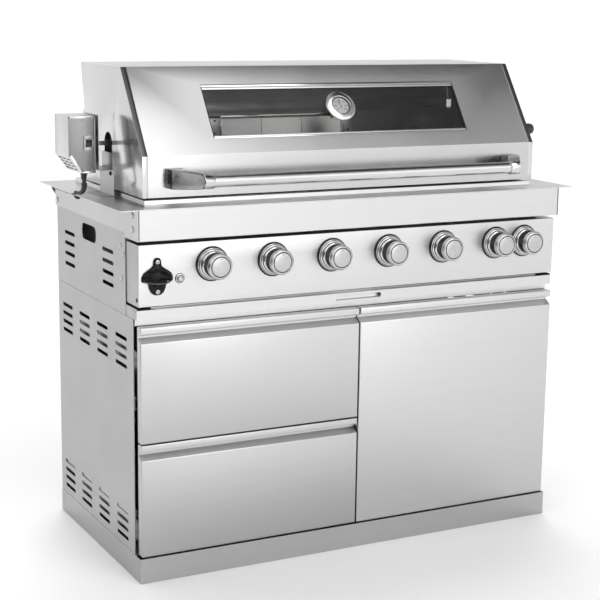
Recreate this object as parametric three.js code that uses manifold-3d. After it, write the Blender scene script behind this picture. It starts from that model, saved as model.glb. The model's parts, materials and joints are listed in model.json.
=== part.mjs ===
// Six-burner gas barbecue grill on a cabinet base, with a windowed lid, a rear burner and a rotisserie.
// Millimetres, +Z up, the front faces -Y. The origin is on the floor, at the middle of the plinth.
import * as THREE from "three";
import { mergeVertices } from "three/addons/utils/BufferGeometryUtils.js";
import Module from "manifold-3d";

const wasm = await Module();
wasm.setup();

// ---------------------------------------------------------------- driving dimensions
const PLINTH = { halfWidth: 592.5, halfDepth: 295.3, height: 62.3 };
const FRONT_Y = -297; // the front face of the trim band, the plane that depths are counted back from
const back = (depth) => FRONT_Y + depth;
const GAP = 0.3; // between touching pieces
const SHEET = 1.25; // thin folded sheet
const PLATE = 1.5; // structural sheet

const SIDE_X = 592; // outer faces of the cabinet and head side panels
const BODY_BACK = 590; // depth of the cabinet's and head's back faces
const CABINET = { floor: 64.1, top: 644.4, sideFront: 40 };
const HEAD = { bottom: 645, top: 904.8, sideFront: 88.9 };
const FRONTS = { face: 5.7, back: 28, outer: 587, inner: 2, bottom: 64.6, top: 628.6 };
const GRIP = { lip: 15.8, mouth: 22.7, depth: 18.5, throat: 5 }; // finger groove along each front's top
const DRAWER_SPLIT = { lowerTop: 343.7, upperBottom: 347.1 };
const DRAWER = { inset: 13, depth: 512, wall: 1 };
const TRAY = { face: 16.6, halfWidth: 592, bottom: 644.7, top: 668.6, panHalf: 552, panBack: 548 };
const CONTROL = { face: 10.6, halfWidth: 589.7, bottom: 677.5, top: 823.8 };
const BAND = { bottom: 832.9, sideBottom: 844, halfWidth: 590, deck: 906.9 };
const DECK = { halfWidth: 636, depth: 601.6 };
const RIM = { halfWidth: 549, front: 72, back: 565, top: 917.6, lip: 10.5, frontLip: 16.5 };

const KNOB = { pitch: 161.5, rearBurnerX: 493, z: 769, face: -44, skirt: 1, holeRadius: 9 };
const BURNERS = 6;
const BURNER_X = Array.from({ length: BURNERS }, (_, i) => (i - (BURNERS - 1) / 2) * KNOB.pitch);
const KNOB_X = [...BURNER_X, KNOB.rearBurnerX];
const BUTTON = { x: -486, z: 740, radius: 6.6 };

const FIREBOX = { halfWidth: 537, front: 90, back: 551, bottom: 690, top: 915, ledgeZ: 872 };
const GRATE = { count: 3, top: 889, thick: 9, bars: 15 };
const BURNER = { z: 800, radius: 18, neckRadius: 11 };

const HOOD = {
  halfWidth: 554.5,
  sideThick: 14,
  bottom: 923.2,
  front: 71.3,
  foldZ: 1020.6,
  topFront: 211,
  top: 1220.7,
  topBack: 494,
  lowBack: 469.6,
  lowBackZ: 1107.8,
};
const PIVOT = { depth: 470, z: 985, pinRadius: 6, boreRadius: 6.4 };
const WINDOW = { halfWidth: 361.5, low: 41, high: 192, glassInset: 3.2, glassThick: 4 };
const THERMOMETER = { along: 117.3, radius: 41, stemRadius: 4 };
const HANDLE = { y: -20, z: 968, radius: 14.5, collarRadius: 17.5, half: 416, collar: 21 };
const SPIT = { depth: 297.5, z: 1033, half: 5, slotRadius: 27, leftEnd: -634, gripStart: 604, tip: 716 };
const MOTOR = { inner: -606, outer: -673, front: 244, back: 350, bottom: 967, top: 1103 };
const MOTOR_CHAMFER = { x: 30, z: 40 };
const SWITCH = { x: -622.5, z: 1038.5, width: 14, height: 18, tiltDeg: 8 };

// ---------------------------------------------------------------- geometry helpers
const X = new THREE.Vector3(1, 0, 0);
const Y = new THREE.Vector3(0, 1, 0);
const Z = new THREE.Vector3(0, 0, 1);

// A geometry's signed volume decides whether its triangles are turned round to face out.
function facingOut(geometry) {
  const plain = geometry.index ? geometry.toNonIndexed() : geometry.clone();
  const p = plain.attributes.position;
  const [a, b, c] = [new THREE.Vector3(), new THREE.Vector3(), new THREE.Vector3()];
  let volume = 0;
  for (let i = 0; i < p.count; i += 3) {
    a.fromBufferAttribute(p, i);
    b.fromBufferAttribute(p, i + 1);
    c.fromBufferAttribute(p, i + 2);
    volume += a.dot(b.cross(c));
  }
  const out = new THREE.BufferGeometry().setAttribute("position", p);
  if (volume < 0) {
    for (let i = 0; i < p.count; i += 3) {
      b.fromBufferAttribute(p, i + 1);
      c.fromBufferAttribute(p, i + 2);
      p.setXYZ(i + 1, c.x, c.y, c.z);
      p.setXYZ(i + 2, b.x, b.y, b.z);
    }
  }
  return out;
}

function toSolid(geometry) {
  const merged = mergeVertices(facingOut(geometry), 1e-3);
  return new wasm.Manifold(
    new wasm.Mesh({
      numProp: 3,
      vertProperties: new Float32Array(merged.attributes.position.array),
      triVerts: new Uint32Array(merged.index.array),
    }),
  );
}

function toGeometry(solid) {
  const mesh = solid.getMesh();
  const geometry = new THREE.BufferGeometry();
  geometry.setAttribute("position", new THREE.BufferAttribute(new Float32Array(mesh.vertProperties), 3));
  geometry.setIndex(new THREE.BufferAttribute(new Uint32Array(mesh.triVerts), 1));
  return geometry;
}

const join = (...pieces) => toGeometry(pieces.map(toSolid).reduce((a, b) => a.add(b)));
const cut = (base, ...tools) => toGeometry(tools.map(toSolid).reduce((a, b) => a.subtract(b), toSolid(base)));
const overlapOf = (a, b) => toGeometry(toSolid(a).intersect(toSolid(b)));

// A box between two opposite corners. Depths along Y are counted from the band's front plane.
function box([x0, x1], [d0, d1], [z0, z1]) {
  const block = new THREE.BoxGeometry(x1 - x0, d1 - d0, z1 - z0);
  return block.translate((x0 + x1) / 2, back((d0 + d1) / 2), (z0 + z1) / 2);
}

const outline = (points) => new THREE.Shape(points.map(([a, b]) => new THREE.Vector2(a, b)));

// A shape's holes are cut as solids, so that rows of holes in line leave no seams.
function extruded(shape, length, curveSegments = 4) {
  const prism = (path, depth) =>
    new THREE.ExtrudeGeometry(new THREE.Shape(path.getPoints(curveSegments)), { depth, bevelEnabled: false });
  const body = prism(shape, length);
  const holes = shape.holes.map((hole) => prism(hole, length + 2).translate(0, 0, -1));
  return holes.length ? cut(body, ...holes) : body;
}

// A shape drawn in (depth, z) and drawn out along X.
function alongX(shape, x0, x1, curveSegments) {
  return extruded(shape, x1 - x0, curveSegments)
    .applyMatrix4(new THREE.Matrix4().makeBasis(Y, Z, X))
    .translate(x0, FRONT_Y, 0);
}

// A shape drawn in (x, z) and drawn out along Y.
function alongY(shape, d0, d1, curveSegments) {
  return extruded(shape, d1 - d0, curveSegments)
    .applyMatrix4(new THREE.Matrix4().makeBasis(X, Z, Y.clone().negate()))
    .translate(0, back(d1), 0);
}

// A shape drawn in (x, depth) and drawn out along Z.
function alongZ(shape, z0, z1, curveSegments) {
  return extruded(shape, z1 - z0, curveSegments).translate(0, FRONT_Y, z0);
}

// A round body about an axis through the local origin, from a profile of (radius, distance along the axis).
function turned(profile, direction, segments = 20) {
  const lathe = new THREE.LatheGeometry(
    profile.map(([r, h]) => new THREE.Vector2(r, h)),
    segments,
  );
  return lathe.applyQuaternion(new THREE.Quaternion().setFromUnitVectors(Y, direction));
}

const rod = (radius, from, to, direction, segments) =>
  turned(
    [
      [0, from],
      [radius, from],
      [radius, to],
      [0, to],
    ],
    direction,
    segments,
  );

// A line of points moved to its own left by a distance, with mitred corners.
function movedLeft(points, distance) {
  const line = points.map(([a, b]) => new THREE.Vector2(a, b));
  const normals = line.slice(1).map((p, i) => {
    const along = p.clone().sub(line[i]).normalize();
    return new THREE.Vector2(-along.y, along.x);
  });
  return line.map((p, i) => {
    const before = normals[Math.max(i - 1, 0)];
    const after = normals[Math.min(i, normals.length - 1)];
    const mitre = before.clone().add(after);
    return p.clone().addScaledVector(mitre, distance / (1 + before.dot(after))).toArray();
  });
}

// The closed outline of a sheet folded along a line of points, its thickness laid off to the line's left.
const folded = (points, thickness) => outline([...points, ...movedLeft(points, thickness).reverse()]);

const rectangle = (x0, x1, y0, y1) =>
  outline([
    [x0, y0],
    [x1, y0],
    [x1, y1],
    [x0, y1],
  ]);

function roundHole(x, y, radius) {
  const hole = new THREE.Path();
  hole.absarc(x, y, radius, 0, Math.PI * 2, true);
  return hole;
}

// A long hole with half-round or quarter-round ends.
function slotHole(x, y, length, height, radius = height / 2) {
  const [right, top] = [length / 2 - radius, height / 2 - radius];
  const hole = new THREE.Path();
  hole.absarc(x + right, y - top, radius, -Math.PI / 2, 0, false);
  hole.absarc(x + right, y + top, radius, 0, Math.PI / 2, false);
  hole.absarc(x - right, y + top, radius, Math.PI / 2, Math.PI, false);
  hole.absarc(x - right, y - top, radius, Math.PI, Math.PI * 1.5, false);
  return hole;
}

const mirroredX = (geometry) => facingOut(geometry.clone().scale(-1, 1, 1));

// ---------------------------------------------------------------- materials and the assembly
const finish = (color, roughness, metalness) =>
  new THREE.MeshStandardMaterial({ color, roughness, metalness });
const steel = () => finish(0xc9cbcc, 0.35, 1);
const innerSteel = () => finish(0xa9abac, 0.5, 1);
const chrome = () => finish(0xe6e7e8, 0.1, 1);
const blackIron = () => finish(0x151515, 0.45, 0.2);
const blackPlastic = () => finish(0x101010, 0.5, 0);

const grill = new THREE.Group();

function add(name, geometry, material, parent = grill) {
  const mesh = new THREE.Mesh(geometry, material);
  mesh.name = name;
  parent.add(mesh);
  return mesh;
}

// ---------------------------------------------------------------- plinth and cabinet
// The plinth is a skirt with a foot flange turned in, and a centre channel that also stands on the floor.
function plinth() {
  const flange = 22;
  const railHalf = 30;
  const { halfWidth: w, halfDepth: d, height } = PLINTH;
  const inside = (offset) => rectangle(-w + offset, w - offset, -d - FRONT_Y + offset, d - FRONT_Y - offset);
  const foot = inside(0);
  for (const side of [-1, 1]) {
    const [near, far] = side < 0 ? [-w + flange, -railHalf] : [railHalf, w - flange];
    foot.holes.push(rectangle(near, far, -d - FRONT_Y + flange, d - FRONT_Y - flange));
  }
  const skirt = inside(0);
  skirt.holes.push(inside(PLATE));
  const [front, rear] = [-d - FRONT_Y + PLATE / 2, d - FRONT_Y - PLATE / 2];
  const webs = [-railHalf, railHalf - PLATE].map((x) => box([x, x + PLATE], [front, rear], [0, height]));
  return join(alongZ(foot, 0, PLATE), alongZ(skirt, 0, height), ...webs);
}

const VENT = { length: 77, height: 9.6, segments: 1 };
const CABINET_VENTS = { depths: [122, 253.5, 385, 516.5], rows: 4, rowPitch: 22.5, top: 586.5, low: 153.5 };
const HEAD_VENTS = { depths: [207, 491], rows: 4, rowPitch: 27.2, top: 782.5 };
const CABLE_PORT = { depth: 342, z: 805.5, length: 102, height: 41, radius: 13 };

function cabinetSide() {
  const shape = rectangle(CABINET.sideFront, BODY_BACK, PLINTH.height + GAP, CABINET.top);
  for (const depth of CABINET_VENTS.depths) {
    for (let row = 0; row < CABINET_VENTS.rows; row++) {
      const drop = row * CABINET_VENTS.rowPitch;
      shape.holes.push(slotHole(depth, CABINET_VENTS.top - drop, VENT.length, VENT.height));
      shape.holes.push(slotHole(depth, CABINET_VENTS.low - drop, VENT.length, VENT.height));
    }
  }
  return alongX(shape, -SIDE_X, -SIDE_X + PLATE, VENT.segments);
}

// The head's side panel, with the runner that the drip tray slides on.
function headSide() {
  const shape = rectangle(HEAD.sideFront, BODY_BACK, HEAD.bottom, HEAD.top);
  for (const depth of HEAD_VENTS.depths) {
    for (let row = 0; row < HEAD_VENTS.rows; row++) {
      shape.holes.push(slotHole(depth, HEAD_VENTS.top - row * HEAD_VENTS.rowPitch, VENT.length, VENT.height));
    }
  }
  const { depth, z, length, height, radius } = CABLE_PORT;
  shape.holes.push(slotHole(depth, z, length, height, radius));
  const runnerWidth = 52;
  const runnerX = [-SIDE_X, -SIDE_X + runnerWidth];
  const runner = box(runnerX, [120, BODY_BACK - 30], [HEAD.bottom, HEAD.bottom + PLATE]);
  return join(alongX(shape, -SIDE_X, -SIDE_X + PLATE, VENT.segments), runner);
}

const innerX = SIDE_X - PLATE - GAP;
const backSheet = [BODY_BACK - PLATE, BODY_BACK];

// The cabinet's back has a tall opening for the gas hose and for air.
function cabinetBack() {
  const shape = rectangle(-innerX, innerX, CABINET.floor + GAP, CABINET.top);
  shape.holes.push(slotHole(300, 250, 240, 120, 20));
  return alongY(shape, ...backSheet);
}

const INLET = { x: 566, z: 760, radius: 8 };
function headBack() {
  const shape = rectangle(-innerX, innerX, HEAD.bottom, HEAD.top);
  shape.holes.push(roundHole(INLET.x, INLET.z, INLET.radius + 2));
  return alongY(shape, ...backSheet);
}

add("plinth", plinth(), steel());
const innerDepth = [CABINET.sideFront - 8, BODY_BACK - PLATE - GAP];
add("cabinet_floor", box([-innerX, innerX], innerDepth, [PLINTH.height + GAP, CABINET.floor]), innerSteel());
add("cabinet_left_side", cabinetSide(), steel());
add("cabinet_right_side", mirroredX(cabinetSide()), steel());
add("cabinet_back", cabinetBack(), innerSteel());
add("cabinet_divider", box([-1, 1], innerDepth, [CABINET.floor + GAP, 628]), innerSteel());
add(
  "cabinet_top_rail",
  alongX(folded([[60, 629], [34, 629], [34, 644], [60, 644]], -SHEET), -innerX, innerX),
  steel(),
);
add("head_left_side", headSide(), steel());
add("head_right_side", mirroredX(headSide()), steel());
add("head_back", headBack(), innerSteel());

// ---------------------------------------------------------------- trim bands, deck and control panel
// The front band is a folded sheet: its face, and a return under it that covers the control panel's top.
function frontBand() {
  const top = BAND.deck - PLATE - GAP;
  const line = [
    [14, BAND.bottom],
    [0, BAND.bottom],
    [0, top],
  ];
  return alongX(folded(line, -SHEET), -BAND.halfWidth, BAND.halfWidth);
}

// A side band stands proud of the head's side, and steps down over the control box.
function sideBand() {
  const top = BAND.deck - PLATE - GAP;
  const shape = outline([
    [0, BAND.bottom],
    [HEAD.sideFront, BAND.bottom],
    [HEAD.sideFront, BAND.sideBottom],
    [BODY_BACK + 8, BAND.sideBottom],
    [BODY_BACK + 8, top],
    [0, top],
  ]);
  return alongX(shape, -SIDE_X - GAP - PLATE, -SIDE_X - GAP);
}

// The deck is a flat flange round the firebox, with a raised rim whose lip turns in over the firebox wall.
const CORD_NOTCH = { depth: 331, reach: 16, radius: 10 };
function cooktopDeck() {
  const w = RIM.halfWidth;
  const z = BAND.deck - PLATE;
  const plate = rectangle(-DECK.halfWidth, DECK.halfWidth, 0, DECK.depth);
  const inside = (offset) => rectangle(-w + offset, w - offset, RIM.front + offset, RIM.back - offset);
  plate.holes.push(inside(PLATE));
  const wall = inside(0);
  wall.holes.push(inside(PLATE));
  const lip = inside(0);
  lip.holes.push(rectangle(-w + RIM.lip, w - RIM.lip, RIM.front + RIM.frontLip, RIM.back - RIM.lip));
  const notch = slotHole(-DECK.halfWidth, CORD_NOTCH.depth, CORD_NOTCH.reach * 2, CORD_NOTCH.radius * 2);
  const notchShape = new THREE.Shape(notch.getPoints(3));
  return cut(
    join(alongZ(plate, z, BAND.deck), alongZ(wall, z, RIM.top), alongZ(lip, RIM.top - SHEET, RIM.top)),
    alongZ(notchShape, z - 1, BAND.deck + 1),
  );
}

// The control panel is a shallow box, open at the back, pierced for the valve stems and the ignition button.
function controlPanel() {
  const { halfWidth: w, bottom, top, face } = CONTROL;
  const front = rectangle(-w, w, bottom, top);
  for (const x of KNOB_X) front.holes.push(roundHole(x, KNOB.z, KNOB.holeRadius));
  front.holes.push(roundHole(BUTTON.x, BUTTON.z, BUTTON.radius + 0.8));
  const returns = rectangle(-w, w, bottom, top);
  returns.holes.push(rectangle(-w + SHEET, w - SHEET, bottom + SHEET, top - SHEET));
  return join(alongY(front, face, face + SHEET), alongY(returns, face, HEAD.sideFront - GAP));
}

add("front_band", frontBand(), steel());
add("left_side_band", sideBand(), steel());
add("right_side_band", mirroredX(sideBand()), steel());
add("cooktop_deck", cooktopDeck(), steel());
add("control_panel", controlPanel(), steel());

// ---------------------------------------------------------------- firebox, grates, burners and gas line
// Four welded walls, open above and below. Each side wall rises into a notched ear that carries the spit.
function firebox() {
  const { halfWidth: w, front, back: rear, bottom, top, ledgeZ } = FIREBOX;
  const wall = rectangle(-w, w, front, rear);
  wall.holes.push(rectangle(-w + PLATE, w - PLATE, front + PLATE, rear - PLATE));
  const ledge = rectangle(-w, w, front, rear);
  ledge.holes.push(rectangle(-w + PLATE, w - PLATE, front + 14, rear - 14));
  const ear = outline([
    [SPIT.depth - 42, top - 10],
    [SPIT.depth + 42, top - 10],
    [SPIT.depth + 42, 1000],
    [SPIT.depth + 23, SPIT.z - 2],
    [SPIT.depth + 13, SPIT.z - 2],
    [SPIT.depth + 9.5, SPIT.z - 9.5],
    [SPIT.depth, SPIT.z - 13.5],
    [SPIT.depth - 9.5, SPIT.z - 9.5],
    [SPIT.depth - 13, SPIT.z - 2],
    [SPIT.depth - 23, SPIT.z - 2],
    [SPIT.depth - 42, 1000],
  ]);
  const ears = [-1, 1].map((side) => {
    const [inner, outer] = [w - PLATE, w].map((x) => side * x);
    return alongX(ear, Math.min(inner, outer), Math.max(inner, outer));
  });
  const neckHoles = BURNER_X.map((x) =>
    rod(BURNER.neckRadius + 2, back(front - 5), back(front + 5), Y, 12).translate(x, 0, BURNER.z),
  );
  return cut(join(alongZ(wall, bottom, top), alongZ(ledge, ledgeZ, ledgeZ + PLATE), ...ears), ...neckHoles);
}

// A bar burner lies front to back: an open neck through the front wall, a fat tube and a pin at the back.
function burner() {
  const { radius, neckRadius } = BURNER;
  return turned(
    [
      [0, back(522)],
      [radius - SHEET, back(522)],
      [radius - SHEET, back(132)],
      [neckRadius - SHEET, back(112)],
      [neckRadius - SHEET, back(80)],
      [neckRadius, back(80)],
      [neckRadius, back(112)],
      [radius, back(132)],
      [radius, back(524)],
      [5, back(530)],
      [5, back(FIREBOX.back - PLATE - GAP)],
      [0, back(FIREBOX.back - PLATE - GAP)],
    ],
    Y,
    14,
  );
}

function cookingGrate(index) {
  const usable = 2 * (FIREBOX.halfWidth - PLATE - 1.5);
  const pitch = usable / GRATE.count;
  const [x0, x1] = [-usable / 2 + index * pitch + 0.75, -usable / 2 + (index + 1) * pitch - 0.75];
  const [d0, d1] = [FIREBOX.front + PLATE + 2, FIREBOX.back - PLATE - 2];
  const shape = rectangle(x0, x1, d0, d1);
  const barWidth = 8;
  const barPitch = (x1 - x0 - barWidth) / (GRATE.bars - 1);
  const gapWidth = barPitch - barWidth;
  for (let i = 0; i < GRATE.bars - 1; i++) {
    const left = x0 + barWidth + i * barPitch;
    shape.holes.push(rectangle(left, left + gapWidth, d0 + 12, d1 - 12));
  }
  return alongZ(shape, GRATE.top - GRATE.thick, GRATE.top);
}

// One manifold pipe with seven valves, and the supply pipe that leaves through the head's back.
function gasManifold() {
  const pipeDepth = 62;
  const pipe = rod(INLET.radius, -470, INLET.x, X, 10).translate(0, back(pipeDepth), KNOB.z - 9);
  const supply = rod(INLET.radius, back(pipeDepth), back(BODY_BACK + 24), Y, 10);
  supply.translate(INLET.x, 0, INLET.z);
  const around = (middle) => [middle - 11, middle + 11];
  const elbow = box(around(INLET.x), around(pipeDepth), around(INLET.z));
  const valves = KNOB_X.flatMap((x) => [
    box([x - 11, x + 11], [30, 72], [KNOB.z - 18, KNOB.z + 9]),
    rod(4, back(KNOB.face + 18), back(32), Y, 10).translate(x, 0, KNOB.z),
  ]);
  return join(pipe, supply, elbow, ...valves);
}

add("firebox", firebox(), innerSteel());
BURNER_X.forEach((x, i) => add(`burner_${i + 1}`, burner().translate(x, 0, BURNER.z), innerSteel()));
["left", "centre", "right"].forEach((side, i) => add(`cooking_grate_${side}`, cookingGrate(i), innerSteel()));
add("gas_manifold", gasManifold(), innerSteel());

// ---------------------------------------------------------------- rear burner
const REAR = { front: 453, bottom: 918, top: 1085, halfWidth: 536 };
const TILES = { half: 183, low: 1008, high: 1070 };

// A hollow casing behind the cooking space. Its ends carry the two pivot pins of the lid.
function rearBurnerHousing() {
  const profile = (inset) =>
    outline([
      [REAR.front + inset, REAR.bottom + inset],
      [562 - inset, REAR.bottom + inset],
      [562 - inset, 1000],
      [515 - inset, REAR.top - inset],
      [REAR.front + inset, REAR.top - inset],
    ]);
  const w = REAR.halfWidth;
  const pins = [-1, 1].map((side) => {
    const [inner, outer] = [w - 6, HOOD.halfWidth - 2].map((x) => side * x);
    return rod(PIVOT.pinRadius, Math.min(inner, outer), Math.max(inner, outer), X, 16).translate(
      0,
      back(PIVOT.depth),
      PIVOT.z,
    );
  });
  const hollow = alongX(profile(PLATE), -w + PLATE, w - PLATE);
  const mouth = box([-TILES.half, TILES.half], [REAR.front - 5, REAR.front + 8], [TILES.low, TILES.high]);
  return join(cut(alongX(profile(0), -w, w), hollow, mouth), ...pins);
}

add("rear_burner_housing", rearBurnerHousing(), innerSteel());
add(
  "ceramic_tiles",
  box(
    [-TILES.half - 8, TILES.half + 8],
    [REAR.front + PLATE + GAP, REAR.front + 15],
    [TILES.low - 8, TILES.high + 8],
  ),
  finish(0xb9b3a4, 0.9, 0),
);

// ---------------------------------------------------------------- lid
const lid = new THREE.Group();
grill.add(lid);

const slope = new THREE.Vector2(HOOD.topFront - HOOD.front, HOOD.top - HOOD.foldZ);
slope.normalize();
const slopeNormal = new THREE.Vector3(0, -slope.y, slope.x); // points up and forward, out of the sloping face

// A slab lying on the sloping face, between two distances up the slope and two depths below the face.
function onSlope(x0, x1, low, high, depth0, depth1) {
  const corner = (along, depth) => [
    HOOD.front + slope.x * along + slope.y * depth,
    HOOD.foldZ + slope.y * along - slope.x * depth,
  ];
  const corners = [corner(low, depth0), corner(low, depth1), corner(high, depth1), corner(high, depth0)];
  return alongX(outline(corners), x0, x1);
}

function lidShell() {
  const line = [
    [HOOD.lowBack, HOOD.lowBackZ],
    [HOOD.topBack, HOOD.top],
    [HOOD.topFront, HOOD.top],
    [HOOD.front, HOOD.foldZ],
    [HOOD.front, HOOD.bottom],
  ];
  const half = HOOD.halfWidth - HOOD.sideThick - GAP;
  const pane = onSlope(-WINDOW.halfWidth, WINDOW.halfWidth, WINDOW.low, WINDOW.high, -10, 20);
  return cut(alongX(folded(line, PLATE), -half, half), pane);
}

// The side is a thick hollow-looking panel. Its slot lets the spit pass as the lid swings up.
function lidSide() {
  const { depth, z, slotRadius: r } = SPIT;
  const shape = new THREE.Shape();
  shape.moveTo(HOOD.front, HOOD.bottom);
  shape.lineTo(depth - r, HOOD.bottom);
  shape.lineTo(depth - r, z);
  shape.absarc(depth, z, r, Math.PI, 0, true);
  shape.lineTo(depth + r, HOOD.bottom);
  shape.lineTo(PIVOT.depth, HOOD.bottom);
  shape.absarc(PIVOT.depth, PIVOT.z, PIVOT.z - HOOD.bottom, -Math.PI / 2, 0, false);
  shape.lineTo(517, 1040);
  shape.lineTo(484.5, 1096.5);
  shape.lineTo(HOOD.lowBack, HOOD.lowBackZ);
  shape.lineTo(HOOD.topBack, HOOD.top);
  shape.lineTo(HOOD.topFront, HOOD.top);
  shape.lineTo(HOOD.front, HOOD.foldZ);
  shape.holes.push(roundHole(PIVOT.depth, PIVOT.z, PIVOT.boreRadius));
  const body = alongX(shape, -HOOD.halfWidth, -HOOD.halfWidth + HOOD.sideThick, 8);
  const pocket = outline([
    [HOOD.front + 6, HOOD.bottom + 6],
    [depth - r - 5, HOOD.bottom + 6],
    [depth - r - 5, z + 34],
    [depth + r + 5, z + 34],
    [depth + r + 5, HOOD.bottom + 6],
    [450, HOOD.bottom + 6],
    [450, 1200],
    [216, 1200],
    [HOOD.front + 6, 1018],
  ]);
  return cut(body, alongX(pocket, -HOOD.halfWidth + PLATE, -HOOD.halfWidth + HOOD.sideThick + 1));
}

function windowGlass() {
  const { halfWidth: w, low, high, glassInset, glassThick } = WINDOW;
  const glass = onSlope(-w - 12, w + 12, low - 8, high + 8, glassInset, glassInset + glassThick);
  const hole = rod(THERMOMETER.stemRadius + 1, -20, 20, slopeNormal, 12);
  hole.translate(...slopePoint(THERMOMETER.along));
  return cut(glass, hole);
}

function slopePoint(along) {
  return [0, back(HOOD.front + slope.x * along), HOOD.foldZ + slope.y * along];
}

// The thermometer stands on the glass: a flared bezel, a recessed dial and a probe behind.
function thermometer() {
  const { radius: r, stemRadius } = THERMOMETER;
  const seat = -WINDOW.glassInset + GAP;
  return turned(
    [
      [0, -45],
      [stemRadius, -45],
      [stemRadius, seat],
      [r * 0.62, seat],
      [r, 10],
      [r, 14],
      [r * 0.74, 17],
      [r * 0.7, 12],
      [0, 12],
    ],
    slopeNormal,
    24,
  ).translate(...slopePoint(THERMOMETER.along));
}

function handleBar() {
  const { radius, collarRadius, half, collar } = HANDLE;
  const bore = radius - 2;
  return turned(
    [
      [bore, -half],
      [collarRadius, -half],
      [collarRadius, -half + collar],
      [radius, -half + collar],
      [radius, half - collar],
      [collarRadius, half - collar],
      [collarRadius, half],
      [bore, half],
      [bore, -half],
    ],
    X,
    20,
  ).translate(0, back(HANDLE.y), HANDLE.z);
}

// A wedge that runs from the hood's face forward and inward to the end of the bar, and tapers as it goes.
function handleBracket() {
  const face = HOOD.front - GAP;
  const end = HANDLE.half + GAP;
  const plan = outline([
    [-503, face],
    [-497, 50],
    [-438, -37],
    [-end, -37],
    [-end, -3],
    [-452, face],
  ]);
  const taper = outline([
    [face, HANDLE.z - 24],
    [face, HANDLE.z + 24],
    [-38, HANDLE.z + 18],
    [-38, HANDLE.z - 18],
  ]);
  const hollow = box([-492, -462], [18, face + 1], [HANDLE.z - 15, HANDLE.z + 15]);
  return cut(overlapOf(alongZ(plan, HANDLE.z - 30, HANDLE.z + 30), alongX(taper, -510, -410)), hollow);
}

add("lid_shell", lidShell(), steel(), lid);
add("lid_left_side", lidSide(), steel(), lid);
add("lid_right_side", mirroredX(lidSide()), steel(), lid);
add("window_glass", windowGlass(), finish(0x9aa3a6, 0.05, 0), lid);
add("lid_thermometer", thermometer(), chrome(), lid);
add("lid_handle_bar", handleBar(), chrome(), lid);
add("handle_bracket_left", handleBracket(), chrome(), lid);
add("handle_bracket_right", mirroredX(handleBracket()), chrome(), lid);

// ---------------------------------------------------------------- drip tray, drawers and door
// A wide shallow pan whose front is a strip across the whole grill, with a finger slot in the middle.
function dripTray() {
  const { face, halfWidth, bottom, top, panHalf, panBack } = TRAY;
  const front = rectangle(-halfWidth, halfWidth, bottom, top);
  front.holes.push(slotHole(0, (bottom + top) / 2, 130, 12, 3));
  const floor = bottom + 2.6;
  const panFront = face + 12;
  const pan = cut(
    box([-panHalf, panHalf], [panFront, panBack], [floor, top + 4]),
    box([-panHalf + SHEET, panHalf - SHEET], [panFront + SHEET, panBack - SHEET], [floor + SHEET, top + 10]),
  );
  const tabs = [-1, 1].map((side) => {
    const [inner, outer] = [300, 500].map((x) => side * x);
    const x = [Math.min(inner, outer), Math.max(inner, outer)];
    return box(x, [face + SHEET / 2, panFront + SHEET / 2], [floor + 2, floor + 4]);
  });
  return join(alongY(front, face, face + SHEET), pan, ...tabs);
}

// A hollow front, open at the back, with the finger groove folded into it along its top.
function cabinetFront(x0, x1, bottom, top) {
  const { face, back: rear } = FRONTS;
  const { lip, mouth, depth, throat } = GRIP;
  const line = [
    [rear, top],
    [face, top],
    [face, top - lip],
    [face + depth, top - lip - (mouth - throat) / 3],
    [face + depth, top - lip - (mouth - throat) / 3 - throat],
    [face, top - lip - mouth],
    [face, bottom],
    [rear, bottom],
  ];
  const inner = movedLeft(line, SHEET);
  const hollow = outline([[rear + 1, inner[0][1]], ...inner, [rear + 1, inner[inner.length - 1][1]]]);
  return cut(alongX(outline(line), x0, x1), alongX(hollow, x0 + SHEET, x1 - SHEET));
}

function drawerBox(bottom, top) {
  const x = [-FRONTS.outer + DRAWER.inset, -FRONTS.inner - DRAWER.inset];
  const d = [FRONTS.back + GAP, FRONTS.back + DRAWER.depth];
  const t = DRAWER.wall;
  return cut(
    box(x, d, [bottom, top]),
    box([x[0] + t, x[1] - t], [d[0] + t, d[1] - t], [bottom + t, top + 10]),
  );
}

const leftFront = [-FRONTS.outer, -FRONTS.inner];
add("drip_tray", dripTray(), steel());
add("upper_drawer_front", cabinetFront(...leftFront, DRAWER_SPLIT.upperBottom, FRONTS.top), steel());
add("upper_drawer_box", drawerBox(366, 560), innerSteel());
add("lower_drawer_front", cabinetFront(...leftFront, FRONTS.bottom, DRAWER_SPLIT.lowerTop), steel());
add("lower_drawer_box", drawerBox(84, 280), innerSteel());
add("cabinet_door", cabinetFront(FRONTS.inner, FRONTS.outer, FRONTS.bottom, FRONTS.top), steel());

// ---------------------------------------------------------------- knobs, button and bottle opener
// A knob is a hollow shell round a boss that grips the valve's stem.
function knob() {
  return turned(
    [
      [0, -KNOB.face - 14],
      [4.4, -KNOB.face - 14],
      [4.4, -KNOB.skirt],
      [9, -KNOB.skirt],
      [9, 34],
      [24, 34],
      [27.5, 26],
      [27.5, -KNOB.skirt],
      [33, -KNOB.skirt],
      [33, 12],
      [30, 18],
      [30, 30],
      [27, 36],
      [27, -KNOB.face - 2],
      [24, -KNOB.face],
      [0, -KNOB.face],
    ],
    Y.clone().negate(),
    20,
  );
}

KNOB_X.forEach((x, i) => add(`knob_${i + 1}`, knob().translate(x, FRONT_Y, KNOB.z), chrome()));

function ignitionButton() {
  const r = BUTTON.radius;
  return turned(
    [
      [0, back(4)],
      [r - 1.5, back(4)],
      [r, back(5.5)],
      [r, back(13)],
      [r + 2.5, back(13)],
      [r + 2.5, back(15)],
      [0, back(15)],
    ],
    Y,
    16,
  ).translate(BUTTON.x, 0, BUTTON.z);
}
add("ignition_button", ignitionButton(), chrome());

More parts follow.
